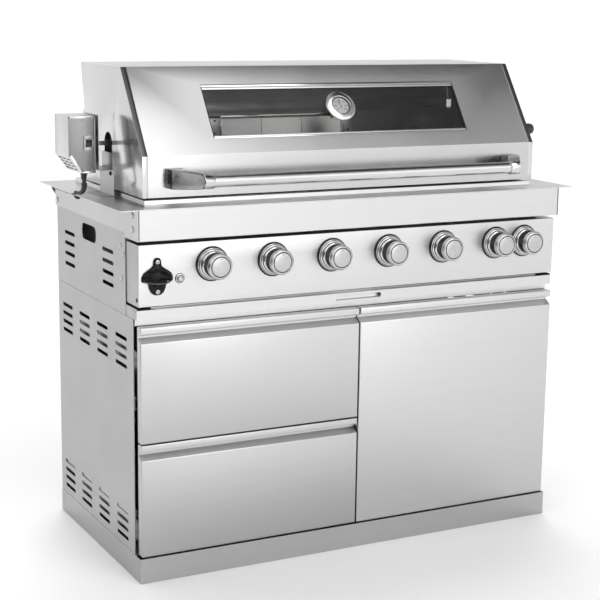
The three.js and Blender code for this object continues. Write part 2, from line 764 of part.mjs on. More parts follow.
// A cast wall opener: a back plate, a domed hood over the cap, and the catch under it.
function bottleOpener() {
  const [x, face] = [-543.5, CONTROL.face - GAP];
  const plate = outline([
    [x - 17, 704],
    [x + 17, 704],
    [x + 21, 725],
    [x + 30, 752],
    [x + 30, 776],
    [x + 16, 793],
    [x - 16, 793],
    [x - 30, 776],
    [x - 30, 752],
    [x - 21, 725],
  ]);
  const hood = new THREE.SphereGeometry(39, 16, 8, 0, Math.PI * 2, 0, Math.PI).scale(1, 0.75, 0.62);
  const dome = hood.translate(x, back(face), 752);
  const mouth = new THREE.SphereGeometry(34, 16, 8).scale(1, 0.72, 0.7).translate(x, back(face - 4), 741);
  const behind = box([x - 60, x + 60], [face, face + 60], [690, 810]);
  const catchBar = box([x - 12, x + 12], [face - 14, face], [722, 730]);
  return join(cut(dome, mouth, behind), alongY(plate, face - 5, face), catchBar);
}
add("bottle_opener", bottleOpener(), blackIron());

// ---------------------------------------------------------------- rotisserie
// A folded bracket stands on the deck beside the lid, steps outward over it and carries the motor.
function motorBracket() {
  const [legX, plateX] = [-HOOD.halfWidth - 4, MOTOR.inner + 9];
  const line = [
    [legX - 34, BAND.deck + GAP + PLATE],
    [legX - PLATE, BAND.deck + GAP + PLATE],
    [legX - PLATE, MOTOR.bottom + 4],
    [plateX - PLATE, MOTOR.bottom + 4],
    [plateX - PLATE, MOTOR.top + 2],
  ];
  const sheet = alongY(folded(line, -PLATE), 246, 346);
  const around = (middle, half) => [middle - half, middle + half];
  const throat = box(around(plateX, 6), around(SPIT.depth, 14), around(SPIT.z, 14));
  return cut(sheet, throat);
}

// The motor's casing is hollow, with a round mouth for the spit and a square one for the rocker switch.
function motorHousing() {
  const { inner, outer, front, back: rear, bottom, top } = MOTOR;
  const profile = (t) =>
    outline([
      [inner - t, bottom + t],
      [inner - t, top - t],
      [outer + t, top - t],
      [outer + t, bottom + MOTOR_CHAMFER.z + t * 0.3],
      [outer + MOTOR_CHAMFER.x + t * 0.5, bottom + t],
    ]);
  const drive = rod(11, inner - 5, inner + 5, X, 16).translate(0, back(SPIT.depth), SPIT.z);
  const rocker = box(
    [SWITCH.x - SWITCH.width / 2 - 1, SWITCH.x + SWITCH.width / 2 + 1],
    [front - 5, front + 5],
    [SWITCH.z - SWITCH.height / 2 - 1.5, SWITCH.z + SWITCH.height / 2 + 1.5],
  );
  const hollow = alongY(profile(PLATE), front + PLATE, rear - PLATE);
  return cut(alongY(profile(0), front, rear), hollow, drive, rocker);
}

function motorSwitch() {
  const half = SWITCH.height / 2;
  const shape = outline([
    [-4, -half],
    [3, -half + 0.5],
    [3, half - 0.5],
    [-4, half],
    [-1.6, 0],
  ]);
  const rocker = extruded(shape, SWITCH.width).applyMatrix4(new THREE.Matrix4().makeBasis(Y, Z, X));
  rocker.translate(-SWITCH.width / 2, 0, 0).rotateX(THREE.MathUtils.degToRad(SWITCH.tiltDeg));
  return rocker.translate(SWITCH.x, back(MOTOR.front + 1), SWITCH.z);
}

// A square rod with a round bushing at each ear of the firebox.
function spitRod() {
  const { half, leftEnd, gripStart, depth, z } = SPIT;
  const bar = new THREE.BoxGeometry(gripStart + 40 - leftEnd, half * 2, half * 2);
  bar.translate((gripStart + 40 + leftEnd) / 2, back(depth), z);
  const bushings = [-1, 1].flatMap((side) => {
    const [inner, collar, outer] = [529, 533.5, 539.5].map((x) => side * x);
    return [
      rod(12, Math.min(inner, outer), Math.max(inner, outer), X, 16),
      rod(17, Math.min(inner, collar), Math.max(inner, collar), X, 16),
    ].map((piece) => piece.translate(0, back(depth), z));
  });
  return join(bar, ...bushings);
}

function spitHandle() {
  const { half, gripStart, tip, depth, z } = SPIT;
  const grip = turned(
    [
      [0, gripStart],
      [11, gripStart],
      [15, gripStart + 8],
      [13, gripStart + 50],
      [16, tip - 8],
      [12, tip],
      [0, tip],
    ],
    X,
    16,
  ).translate(0, back(depth), z);
  const socket = new THREE.BoxGeometry(100, half * 2 + 2 * GAP, half * 2 + 2 * GAP);
  return cut(grip, socket.translate(gripStart + 40 + GAP - 50, back(depth), z));
}

add("motor_bracket", motorBracket(), steel());
add("motor_housing", motorHousing(), steel());
add("motor_switch", motorSwitch(), blackPlastic());
add("spit_rod", spitRod(), chrome());
add("spit_handle", spitHandle(), blackPlastic());

// ---------------------------------------------------------------- the motor's mains cord
const CORD = { radius: 3.5, sides: 8, steps: 60, exit: [-630, 262, MOTOR.bottom - 26] };
const COIL = { x: -500, depth: 668, outer: 46, inner: 30, height: 15 };

// The route's points as (x, depth, z): down in a loose bow to the deck, through its notch, back under the
// overhang, down behind the cabinet and along the floor to the coil.
const ROUTE = [
  [-630, 262, 941],
  [-630, 262, 933],
  [-630.8, 269, 922],
  [-632, 284, 915],
  [-632, 302, 912.5],
  [-631.5, 318, 912.5],
  [-630.5, 328, 911],
  [-629.5, 333, 905],
  [-626, 337, 898],
  [-616, 350, 893.5],
  [-609, 362, 893],
  [-602, 385, 893],
  [-600, 430, 893],
  [-600, 490, 893],
  [-600, 545, 893],
  [-600, 582, 892.5],
  [-599, 601, 889],
  [-590, 612, 878],
  [-577, 614, 858],
  [-569, 614, 820],
  [-568, 614, 770],
  [-567, 614, 640],
  [-567, 614, 480],
  [-567, 614, 320],
  [-567, 614, 180],
  [-567, 614.5, 90],
  [-566, 616, 44],
  [-561, 619, 18],
  [-550, 622, 6],
  [-538, 624.5, 3.8],
  [-527, 625.5, 3.8],
];

function motorCord() {
  const points = ROUTE.map(([x, depth, z]) => new THREE.Vector3(x, back(depth), z));
  const path = new THREE.CatmullRomCurve3(points, false, "centripetal");
  const section = outline(
    Array.from({ length: CORD.sides }, (_, i) => {
      const angle = (i / CORD.sides) * Math.PI * 2;
      return [CORD.radius * Math.cos(angle), CORD.radius * Math.sin(angle)];
    }),
  );
  return new THREE.ExtrudeGeometry(section, { steps: CORD.steps, extrudePath: path, bevelEnabled: false });
}

function coil() {
  const { inner, outer, height } = COIL;
  return turned(
    [
      [inner, 0],
      [outer, 0],
      [outer, height],
      [inner, height],
      [inner, 0],
    ],
    Z,
    20,
  ).translate(COIL.x, back(COIL.depth), 0);
}

function gland() {
  const [x, depth] = CORD.exit;
  return turned(
    [
      [0, CORD.exit[2] + GAP],
      [5, CORD.exit[2] + GAP],
      [8, MOTOR.bottom - 6],
      [8, MOTOR.bottom - GAP],
      [0, MOTOR.bottom - GAP],
    ],
    Z,
    12,
  ).translate(x, back(depth), 0);
}

// The plug lies on the floor beside the coil, its pins pointing away and its sleeve towards the coil.
function plug() {
  const [depth, z] = [626, 13];
  const body = box([-456, -420], [depth - 18, depth + 18], [0, 26]);
  const sleeve = rod(5, -470, -455, X, 10).translate(0, back(depth), z);
  const pins = [-1, 1].map((side) => rod(2.4, -420.5, -401, X, 8).translate(0, back(depth + side * 9.5), z));
  return join(body, sleeve, ...pins);
}

add("cord_gland", gland(), blackPlastic());
add("motor_cord", motorCord(), blackPlastic());
add("cord_coil", coil(), blackPlastic());
add("cord_plug", plug(), blackPlastic());

export default grill;
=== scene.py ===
import json
import math

import bmesh
import bpy
from mathutils import Matrix, Quaternion, Vector

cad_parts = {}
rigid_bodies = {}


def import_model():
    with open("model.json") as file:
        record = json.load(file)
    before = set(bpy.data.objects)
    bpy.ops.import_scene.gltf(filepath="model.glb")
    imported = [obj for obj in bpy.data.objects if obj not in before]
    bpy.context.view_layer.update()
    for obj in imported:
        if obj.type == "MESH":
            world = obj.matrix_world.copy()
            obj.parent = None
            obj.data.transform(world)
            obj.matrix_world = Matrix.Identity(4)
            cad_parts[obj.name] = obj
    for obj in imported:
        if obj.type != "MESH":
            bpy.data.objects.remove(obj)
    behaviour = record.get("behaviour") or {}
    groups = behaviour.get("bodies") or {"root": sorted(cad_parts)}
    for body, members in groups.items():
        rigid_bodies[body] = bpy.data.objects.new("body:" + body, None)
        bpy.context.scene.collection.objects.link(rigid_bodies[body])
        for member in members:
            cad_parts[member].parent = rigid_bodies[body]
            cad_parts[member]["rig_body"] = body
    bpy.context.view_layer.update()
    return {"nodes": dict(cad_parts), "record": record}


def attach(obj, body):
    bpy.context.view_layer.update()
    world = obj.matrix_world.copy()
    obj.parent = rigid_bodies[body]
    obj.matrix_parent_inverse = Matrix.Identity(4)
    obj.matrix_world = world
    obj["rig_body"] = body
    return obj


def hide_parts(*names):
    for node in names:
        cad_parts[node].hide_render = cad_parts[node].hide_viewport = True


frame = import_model()
nodes = frame["nodes"]

# ------ driving dimensions, millimetres
FRONT_Y = -297  # the trim band's front plane, from which depths are counted back
KNOB_PITCH = 161.5
KNOB_X = [(i - 2.5) * KNOB_PITCH for i in range(6)] + [493]
BURNER_X = KNOB_X[:6]
KNOB_Z = 769
PANEL_DEPTH = 10.6
SLOPE_FOOT = (71.3, 1020.6)  # the depth and height where the lid's front starts to slope back
SLOPE_TOP = (211, 1220.7)
HOOD_HALF = 554.5
WINDOW_HALF = 361.5
WINDOW_ALONG = (41, 192)
SPIT = (297.5, 1033)
MOTOR_X = (-673, -606)
MOTOR_DEPTH = (244, 350)
MOTOR_Z = (967, 1103)
X, Y, Z = Vector((1, 0, 0)), Vector((0, 1, 0)), Vector((0, 0, 1))
FORWARD = -Y


def mm(x, y, z):
    return Vector((x, y, z)) / 1000


def at(x, depth, z):
    """A point in metres from millimetres, with its depth counted back from the trim band."""
    return mm(x, FRONT_Y + depth, z)


def shift(vector):
    return Matrix.Translation(vector)


def spin(degrees, axis):
    return Matrix.Rotation(math.radians(degrees), 4, axis)


def axes(x, y, z):
    return Matrix((x, y, z)).transposed().to_4x4()


# ------ node materials
class Graph:
    """A node tree, with short calls that add and join its nodes."""

    def __init__(self, tree, place):
        self.tree = tree
        self.place = self.add("ShaderNodeTexCoord").outputs[place]

    def add(self, kind, links=(), **settings):
        node = self.tree.nodes.new(kind)
        for key, value in settings.items():
            setattr(node, key, value)
        for socket, source in dict(links).items():
            self.set(node.inputs[socket], source)
        return node

    def set(self, socket, source):
        if isinstance(source, bpy.types.NodeSocket):
            self.tree.links.new(source, socket)
        else:
            socket.default_value = source

    def noise(self, scale, detail=3.0, roughness=0.55, stretch=(1, 1, 1)):
        vector = self.add("ShaderNodeMapping", {"Vector": self.place, "Scale": stretch}).outputs[0]
        links = {"Vector": vector, "Scale": scale, "Detail": detail, "Roughness": roughness}
        return self.add("ShaderNodeTexNoise", links).outputs["Fac"]

    def ramp(self, factor, stops):
        node = self.add("ShaderNodeValToRGB", {"Fac": factor})
        elements = node.color_ramp.elements
        while len(elements) < len(stops):
            elements.new(0.5)
        for element, (position, value) in zip(elements, stops):
            element.position = position
            element.color = (*value, 1) if isinstance(value, tuple) else (value, value, value, 1)
        return node.outputs["Color"]

    def remap(self, factor, low, high, source=(0.3, 0.7)):
        links = {"Value": factor, "From Min": source[0], "From Max": source[1], "To Min": low, "To Max": high}
        return self.add("ShaderNodeMapRange", links).outputs["Result"]

    def math(self, operation, a, b=0.0):
        return self.add("ShaderNodeMath", {0: a, 1: b}, operation=operation).outputs[0]

    def times(self, a, b):
        return self.math("MULTIPLY", a, b)

    def plus(self, a, b):
        return self.math("ADD", a, b)

    def mix(self, factor, a, b):
        return self.add("ShaderNodeMix", {"Factor": factor, 6: a, 7: b}, data_type="RGBA").outputs[2]

    def share(self, part, a, b):
        """One value's part added to the rest of another."""
        return self.plus(self.times(a, part), self.times(b, 1 - part))

    def bump(self, height, distance, strength=1.0):
        links = {"Height": height, "Distance": distance, "Strength": strength}
        return self.add("ShaderNodeBump", links).outputs["Normal"]


class Nodes(Graph):
    """A material and its node tree."""

    def __init__(self, name):
        self.material = bpy.data.materials.new(name)
        self.material.use_nodes = True
        super().__init__(self.material.node_tree, "Object")
        self.shader = self.tree.nodes["Principled BSDF"]

    def shade(self, **values):
        for key, value in values.items():
            self.set(self.shader.inputs[key.replace("_", " ")], value)
        return self.material


def brushed(name, along="X", colour=0.64, roughness=0.3, depth=0.000012, spread=0.025, painted_shade=None):
    """Brushed stainless steel: fine lines along one axis, faint bands, and handling marks in its gloss.
    painted_shade darkens the sheet towards its lower edge as painted shade: it gives two heights in metres,
    and how dark the sheet is at the lower one, as a share."""
    m = Nodes(name)
    lines = tuple(0.012 if axis == along else 1.0 for axis in "XYZ")
    fine = m.noise(1500, 2, stretch=lines)
    bands = m.noise(160, 3, stretch=lines)
    cloud = m.noise(7, 4, 0.6)
    marks = m.share(0.55, fine, bands)
    low, high = colour * (1 - spread), min(colour * (1 + spread), 0.97)
    tint = m.ramp(marks, [(0.3, (low, low, low * 1.004)), (0.7, (high, high * 0.998, high * 0.993))])
    # Painted shade: the colour grows darker towards the sheet's lower edge.
    if painted_shade:
        low_z, high_z, darkest = painted_shade
        height = m.add("ShaderNodeSeparateXYZ", {"Vector": m.place}).outputs["Z"]
        tint = m.mix(m.remap(height, darkest, 1.0, (low_z, high_z)), (0, 0, 0, 1), tint)
    swing = 2 * spread
    smudges = m.remap(cloud, roughness - 0.7 * swing, roughness + swing)
    gloss = m.plus(m.remap(fine, -swing, swing), smudges)
    return m.shade(Base_Color=tint, Metallic=1.0, Roughness=gloss, Normal=m.bump(marks, depth, 0.7))


def polished(name, colour=0.62, roughness=0.09):
    """Polished metal with faint smears and hairline scratches."""
    m = Nodes(name)
    smear = m.noise(24, 5, 0.65)
    scratch = m.noise(420, 2, stretch=(0.08, 1, 0.3))
    tint = m.ramp(smear, [(0.35, colour * 0.97), (0.7, colour)])
    gloss = m.plus(m.remap(smear, roughness * 0.6, roughness * 1.7), m.remap(scratch, -0.01, 0.02))
    return m.shade(Base_Color=tint, Metallic=1.0, Roughness=gloss, Normal=m.bump(scratch, 0.00001, 0.25))


def spun(name, colour=0.8, roughness=0.3):
    """Satin metal turned on a lathe: soft gloss changes and a fine even tooth."""
    m = Nodes(name)
    tooth = m.noise(2600, 2)
    cloud = m.noise(60)
    tint = m.ramp(m.share(0.5, tooth, cloud), [(0.35, colour * 0.95), (0.7, colour * 1.02)])
    gloss = m.remap(cloud, roughness - 0.05, roughness + 0.06)
    return m.shade(Base_Color=tint, Metallic=1.0, Roughness=gloss, Normal=m.bump(tooth, 0.00003, 0.5))


def mottled(name, cloud, stops, gloss, tooth=None, relief=(0.0, 0.0), metallic=0.0, specular=0.5):
    """A surface whose colour and gloss follow one cloudy noise, with the relief of that or a finer one."""
    m = Nodes(name)
    patches = m.noise(*cloud)
    height = m.noise(*tooth) if tooth else patches
    return m.shade(Base_Color=m.ramp(patches, stops), Metallic=metallic, Roughness=m.remap(patches, *gloss),
                   Specular_IOR_Level=specular, Normal=m.bump(height, *relief))


def moulded(name, colour=0.02, roughness=0.5, grain=0.00012, specular=0.5):
    """Moulded plastic or powder coat: a fine pebble, scuffs that are a little paler, and uneven gloss."""
    stops = [(0.4, colour * 0.8), (0.75, colour * 1.6 + 0.008)]
    gloss = (roughness - 0.07, roughness + 0.08)
    return mottled(name, (45, 5, 0.7), stops, gloss, (1400,), (grain, 0.6), specular=specular)


def pierced_ceramic(name, pitch=0.0034):
    """Fired clay tile, pierced all over by round flame ports in staggered rows, a pitch apart in metres. The
    ports are dark circles in the colour with a bump: painted shade in the holes.
    """
    m = Nodes(name)
    split = m.add("ShaderNodeSeparateXYZ", {"Vector": m.place})
    row_step = 0.866  # of the pitch, for ports at equal distances
    row = m.math("DIVIDE", split.outputs["Z"], pitch * row_step)
    odd = m.math("MODULO", m.math("FLOOR", row), 2.0)
    column = m.plus(m.math("DIVIDE", split.outputs["X"], pitch), m.times(odd, 0.5))
    across = m.math("SUBTRACT", m.math("FRACT", column), 0.5)
    up = m.times(m.math("SUBTRACT", m.math("FRACT", row), 0.5), row_step)
    reach = m.math("SQRT", m.plus(m.times(across, across), m.times(up, up)))
    solid = m.remap(reach, 0.0, 1.0, (0.22, 0.3))
    clay = m.noise(70, 4)
    tint = m.ramp(clay, [(0.3, (0.78, 0.76, 0.73)), (0.7, (0.88, 0.87, 0.84))])
    # The ports are mixed in as a dark colour: painted shade in the holes.
    return m.shade(Base_Color=m.mix(solid, (0.09, 0.085, 0.08, 1), tint), Roughness=m.remap(clay, 0.75, 0.92),
                   Normal=m.bump(solid, 0.0006, 0.9))


def window_glass(name):
    """Smoked lid glass: mostly see-through, with a trace of grease in its gloss."""
    m = Nodes(name)
    film = m.noise(14, 4, stretch=(1, 2, 1))
    return m.shade(Base_Color=m.ramp(film, [(0.3, 0.012), (0.8, 0.03)]), Roughness=m.remap(film, 0.02, 0.07),
                   IOR=1.9, Alpha=0.22)


STEEL_X = brushed("steel_brushed_across")
# A darker copy of the brushed steel for the faces that look to the sides: painted shade.
STEEL_Y = brushed("steel_brushed_deep", "Y", 0.42, 0.36)
STEEL_FRONT = brushed("steel_brushed_front", "X", 0.62, 0.36)
# The drawer and door fronts grow darker towards their lower edges, and the lower drawer is darker all over:
# painted shade.
STEEL_UPPER = brushed("steel_upper_drawer", "X", 0.6, 0.36, painted_shade=(0.34, 0.6, 0.86))
STEEL_LOWER = brushed("steel_lower_drawer", "X", 0.55, 0.36, painted_shade=(0.06, 0.32, 0.82))
STEEL_DOOR = brushed("steel_door", "X", 0.61, 0.36, painted_shade=(0.06, 0.6, 0.86))
# The plinth and the side bands are darker copies of the front steel: painted shade.
STEEL_LOW = brushed("steel_plinth", "X", 0.43, 0.36)
STEEL_BAND = brushed("steel_side_band", "Y", 0.52, 0.34)
STEEL_PLATE = brushed("steel_motor_plate", "Z", 0.38, 0.3)
MOTOR_TRIM = brushed("motor_trim", "Z", 0.36, 0.3)
STEEL_SLOPE = brushed("steel_brushed_lid", "X", 0.55, 0.23, 0.000002, 0.01)
STEEL_MIRROR = brushed("steel_polished_side", "Z", 0.62, 0.18, 0.000004, 0.015)
STEEL_INNER = brushed("steel_mill", "X", 0.5, 0.42, 0.00001)
# A dark steel for the firebox, the rear burner's housing, the flame tamers and the motor's drive.
STEEL_DARK = brushed("steel_darkened", "X", 0.26, 0.45, 0.00001, 0.08)
CHROME = polished("chrome")
CHROME_DARK = polished("chrome_dark", 0.07, 0.25)
CHROME_SATIN = polished("chrome_satin", 0.6, 0.3)
# A paler metal for the opener's lip: painted highlight.
LIP_HIGHLIGHT = polished("lip_painted_highlight", 0.1, 0.35)
BRACKET_FACE = polished("bracket_face", 0.6, 0.42)
# A dark copy of the bracket's metal for its edges, end and foot: painted shade round the paler outer face.
BRACKET_SHADED_EDGE = polished("bracket_edge_painted_shade", 0.22, 0.25)
ROD_STEEL = polished("spit_steel", 0.3, 0.2)
MOTOR_FACE = brushed("motor_face", "Z", 0.3, 0.42, 0.000004, 0.03)
# A near-black copy of the steel for the lid sides' edge faces along the slope: painted shade.
EDGE_STEEL = brushed("steel_edge_painted_shade", "Y", 0.085, 0.3, 0.000004, 0.03)
SATIN = spun("satin_cap", 0.5, 0.3)
SCREW = spun("screw_steel", 0.4, 0.28)
BLACK_COAT = moulded("black_coat", 0.005, 0.22, 0.0001, 0.16)
BLACK_PLASTIC = moulded("black_plastic", 0.02, 0.5)
BLACK_RUBBER = moulded("black_rubber", 0.018, 0.58, 0.00006)
SHADOW_BLACK = moulded("vent_shadow", 0.006, 0.8)
BURNER_STEEL = mottled(
    "steel_heat_tinted", (16, 5, 0.6),
    [(0.3, (0.5, 0.47, 0.43)), (0.48, (0.42, 0.33, 0.22)), (0.58, (0.3, 0.24, 0.27)),
     (0.72, (0.47, 0.48, 0.5))],
    (0.34, 0.52), (900, 2), (0.00004, 0.5), 1.0)
BRASS = mottled("brass", (55, 5, 0.65), [(0.3, (0.46, 0.34, 0.15)), (0.7, (0.78, 0.6, 0.3))], (0.3, 0.48),
                (1100, 2), (0.00006, 0.5), 1.0)
CERAMIC = pierced_ceramic("ceramic_tile")
GLASS = window_glass("lid_glass")
DIAL = mottled("dial", (160,), [(0.3, 0.44), (0.7, 0.5)], (0.3, 0.4), None, (0.00003, 0.4), 0.93)
FLOOR_PAINT = mottled("floor", (1.5,), [(0.3, 0.9), (0.7, 0.93)], (0.55, 0.65))


# ------ mesh building
def moved(shape, matrix):
    bmesh.ops.transform(shape, matrix=matrix, verts=shape.verts)
    return shape


def merge(mesh, shape):
    """Adds a shape to a bmesh. The shape is used up."""
    spare = bpy.data.meshes.new("spare")
    shape.to_mesh(spare)
    shape.free()
    mesh.from_mesh(spare)
    bpy.data.meshes.remove(spare)


def show(name, data):
    thing = bpy.data.objects.new(name, data)
    bpy.context.scene.collection.objects.link(thing)
    return thing


class Piece:
    """Collects shapes, each with its own material, into one mesh that rides on a CAD body."""

    def __init__(self, name):
        self.name = name
        self.mesh = bmesh.new()
        self.materials = []

    def take(self, shape, material, move=None):
        """Adds a shape, which is used up, after a move."""
        if material not in self.materials:
            self.materials.append(material)
        if move is not None:
            moved(shape, move)
        for face in shape.faces:
            face.material_index = self.materials.index(material)
        merge(self.mesh, shape)
        return self

    def recolour(self, material, normal):
        """Gives another material to the faces that look along a normal."""
        self.materials.append(material)
        self.mesh.normal_update()
        for face in self.mesh.faces:
            if face.normal.dot(normal) > 0.97:
                face.material_index = len(self.materials) - 1

    def done(self, slot, replaces=(), body="grill_body", sharp=35):
        """Makes the object, with smooth shading up to the sharp angle."""
        data = bpy.data.meshes.new(self.name)
        bmesh.ops.recalc_face_normals(self.mesh, faces=self.mesh.faces)
        self.mesh.to_mesh(data)
        self.mesh.free()
        for material in self.materials:
            data.materials.append(material)
        data.shade_smooth()
        data.set_sharp_from_angle(angle=math.radians(sharp))
        piece = show(self.name, data)
        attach(piece, body)
        if replaces:
            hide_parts(*replaces)
        return piece


def turning(direction, place=Vector()):
    """The matrix that takes +Z to a direction and the origin to a place."""
    turn = Z.rotation_difference(Vector(direction)).to_matrix().to_4x4()
    return shift(place) @ turn


def join_rings(shape, rings):
    """Faces between rings of as many corners. A ring that is one corner repeated is a pole."""
    for low, high in zip(rings, rings[1:]):
        for i in range(len(low)):
            j = (i + 1) % len(low)
            corners = list(dict.fromkeys([low[i], low[j], high[j], high[i]]))
            if len(corners) > 2:
                shape.faces.new(corners)


def lathe(profile, segments=48, wobble=None):
    """A body turned about +Z from (radius, height) points in millimetres. wobble(i) scales segment i."""
    shape = bmesh.new()
    rings = []
    for radius, height in profile:
        ring = []
        if radius == 0:
            ring = [shape.verts.new((0, 0, height / 1000))] * segments
        else:
            for i in range(segments):
                angle = 2 * math.pi * i / segments
                reach = radius / 1000 * (wobble(i) if wobble else 1)
                corner = (reach * math.cos(angle), reach * math.sin(angle), height / 1000)
                ring.append(shape.verts.new(corner))
        rings.append(ring)
    join_rings(shape, rings)
    return shape


def disc(radius, low, high, segments):
    return lathe([(0, low), (radius, low), (radius, high), (0, high)], segments)


def collar(inner, outer, low, high, segments):
    return lathe([(inner, low), (outer, low), (outer, high), (inner, high), (inner, low)], segments)


def rounded(shape, width, segments=2, angle=30):
    """Rounds a shape's sharp edges by a width in millimetres."""
    if width == 0:
        return shape
    edges = [e for e in shape.edges if len(e.link_faces) == 2 and e.calc_face_angle() > math.radians(angle)]
    bmesh.ops.bevel(shape, geom=edges, offset=width / 1000, segments=segments, profile=0.5,
                    affect="EDGES", clamp_overlap=True)
    return shape


def cuboid(size, move):
    """A box of a size in metres about the origin, after a move."""
    shape = bmesh.new()
    bmesh.ops.create_cube(shape, size=1)
    return moved(shape, move @ Matrix.Diagonal((*size, 1)))


def block(x, depth, z, edge=0.6):
    """A box between two opposite corners given as ranges in millimetres, with rounded edges."""
    low, high = at(x[0], depth[0], z[0]), at(x[1], depth[1], z[1])
    return rounded(cuboid(high - low, shift((low + high) / 2)), edge)


def prism(outline, lift, edge=0.6):
    """A closed outline of points in metres, drawn out by a vector, with rounded edges."""
    shape = bmesh.new()
    base = [shape.verts.new(p) for p in outline]
    top = [shape.verts.new(Vector(p) + lift) for p in outline]
    shape.faces.new(base)
    shape.faces.new(top[::-1])
    join_rings(shape, [base, top])
    bmesh.ops.recalc_face_normals(shape, faces=shape.faces)
    return rounded(shape, edge)


def bar(start, end, radius, segments=14, nose=0.25):
    """A round bar between two points in metres, its radius in millimetres, with eased ends."""
    start, end = Vector(start), Vector(end)
    length = (end - start).length * 1000
    ease = radius * nose
    profile = [(0, 0), (radius - ease, 0), (radius, ease), (radius, length - ease), (radius - ease, length),
               (0, length)]
    return moved(lathe(profile, segments), turning(end - start, start))


def tube(points, radius, segments=12, end_radius=None):
    """A round tube along a line of points in metres, closed at both ends. It can taper to another radius."""
    shape = bmesh.new()
    taper = ((end_radius or radius) - radius) / (len(points) - 1)
    rings = []
    side = None
    for i, point in enumerate(points):
        ahead = (points[min(i + 1, len(points) - 1)] - points[max(i - 1, 0)]).normalized()
        side = (side or ahead.orthogonal()).normalized()
        side = (side - ahead * side.dot(ahead)).normalized()
        other = ahead.cross(side)
        ring = []
        for k in range(segments):
            angle = 2 * math.pi * k / segments
            reach = (side * math.cos(angle) + other * math.sin(angle)) * (radius + taper * i) / 1000
            ring.append(shape.verts.new(point + reach))
        rings.append(ring)
    join_rings(shape, rings)
    shape.faces.new(rings[0][::-1])
    shape.faces.new(rings[-1])
    return shape


def pan_screw(radius, height=1.8):
    """A pan-head screw with a cross recess, standing on +Z."""
    profile = [(0, -0.6), (radius, -0.6), (radius, height * 0.35), (radius * 0.86, height * 0.75),
               (radius * 0.5, height), (0, height * 1.04)]
    shape = lathe(profile, 20)
    for turn in (0, 90):
        lift = shift((0, 0, height * 1.02 / 1000)) @ spin(turn, "Z")
        merge(shape, cuboid(mm(radius * 1.15, radius * 0.26, 0.25), lift))
    return shape


def screws(name, places, normal, radius, height=1.8, material=SCREW):
    """A set of screws on the grill's body that all face the same way. A big head has a dark ring round it:
    painted shade.
    """
    piece = Piece(name)
    for place in places:
        seat = turning(normal, at(*place))
        piece.take(pan_screw(radius, height), material, seat)
        # A dark ring under a big head: painted shade.
        if radius > 4:
            line = [(0, -0.3), (radius + 1.2, -0.3), (radius + 1.1, 0.3), (0, 0.3)]
            piece.take(lathe(line, 20), CHROME_DARK, seat)
    piece.done("chrome")


def softened(node, material, width=1.2, thick=4, edge_material=None, edge_normal=None):
    """Stands for a CAD node with its long folds and corners rounded. A fold has a wide face on both sides."""
    shape = bmesh.new()
    shape.from_mesh(nodes[node].data)
    bmesh.ops.remove_doubles(shape, verts=shape.verts, dist=2e-5)
    bmesh.ops.dissolve_limit(shape, angle_limit=math.radians(0.6), verts=shape.verts, edges=shape.edges)

    def breadth(face):
        longest = max(e.calc_length() for e in face.edges)
        return face.calc_area() / longest

    folds = [
        e for e in shape.edges
        if len(e.link_faces) == 2 and e.calc_face_angle() > math.radians(20)
        and e.calc_length() > 0.012 and min(breadth(f) for f in e.link_faces) > thick / 1000
    ]
    bmesh.ops.bevel(shape, geom=folds, offset=width / 1000, segments=3, profile=0.5, affect="EDGES",
                    clamp_overlap=True)
    slot = next(s["material_slot"] for s in frame["record"]["subparts"] if s["node"] == node)
    piece = Piece(node + "_formed").take(shape, material)
    if edge_material:
        piece.recolour(edge_material, edge_normal)
    piece.done(slot, [node], nodes[node]["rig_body"])


def paint(material, *names):
    """Gives CAD nodes that are shown as they are a better material."""
    for name in names:
        data = nodes[name].data
        data.materials.clear()
        data.materials.append(material)


def slope_point(along, out=0, x=0):
    """A point on the lid's sloping front, a distance up the slope and a distance out of it."""
    run, rise = SLOPE_TOP[0] - SLOPE_FOOT[0], SLOPE_TOP[1] - SLOPE_FOOT[1]
    length = math.hypot(run, rise)
    depth = SLOPE_FOOT[0] + run / length * along - rise / length * out
    z = SLOPE_FOOT[1] + rise / length * along + run / length * out
    return at(x, depth, z)


SLOPE_OUT = (slope_point(0, 1) - slope_point(0)).normalized()
SLOPE_UP = (slope_point(1) - slope_point(0)).normalized()


# ------ camera
camera = show("camera", bpy.data.cameras.new("camera"))
bpy.context.scene.camera = camera
camera.data.sensor_width = 36
camera.data.lens = 88.56
sight = Vector((0.45233, 0.86916, -0.19987)).normalized()
level = sight.cross(Z).normalized()
roll = Quaternion(sight, math.radians(-0.82))
right = roll @ level
camera.matrix_world = shift((-1.80345, -3.42891, 1.38483)) @ axes(right, right.cross(sight), -sight)

# ------ the motor's mains cord
CORD_RADIUS = 3.5
COIL_CENTRE = (-500, 668)
COIL_WIDE, COIL_NARROW = 41.2, 34
COIL_LOW, COIL_HIGH = 4.4, 11.6
PLUG_LINE = (626, 13)

# The same route as in the CAD part, as (x, depth, z).
ROUTE = [
    (-630, 262, 941), (-630, 262, 933), (-630.8, 269, 922), (-632, 284, 915), (-632, 302, 912.5),
    (-631.5, 318, 912.5), (-630.5, 328, 911), (-629.5, 333, 905), (-626, 337, 898), (-616, 350, 893.5),
    (-609, 362, 893), (-602, 385, 893), (-600, 430, 893), (-600, 490, 893), (-600, 545, 893),
    (-600, 582, 892.5), (-599, 601, 889), (-590, 612, 878), (-577, 614, 858), (-569, 614, 820),
    (-568, 614, 770), (-567, 614, 640), (-567, 614, 480), (-567, 614, 320), (-567, 614, 180),
    (-567, 614.5, 90), (-566, 616, 44), (-561, 619, 18), (-550, 622, 6), (-538, 624.5, 3.8),
    (-527, 626.6, 4.4), (-515, 626.8, 4.4),
]
INTO_PLUG = [(-489, 626.7, 11.8), (-478, 626.3, 12.6), (-470.3, *PLUG_LINE)]


def smooth_step(value):
    value = min(max(value, 0), 1)
    return value * value * (3 - 2 * value)


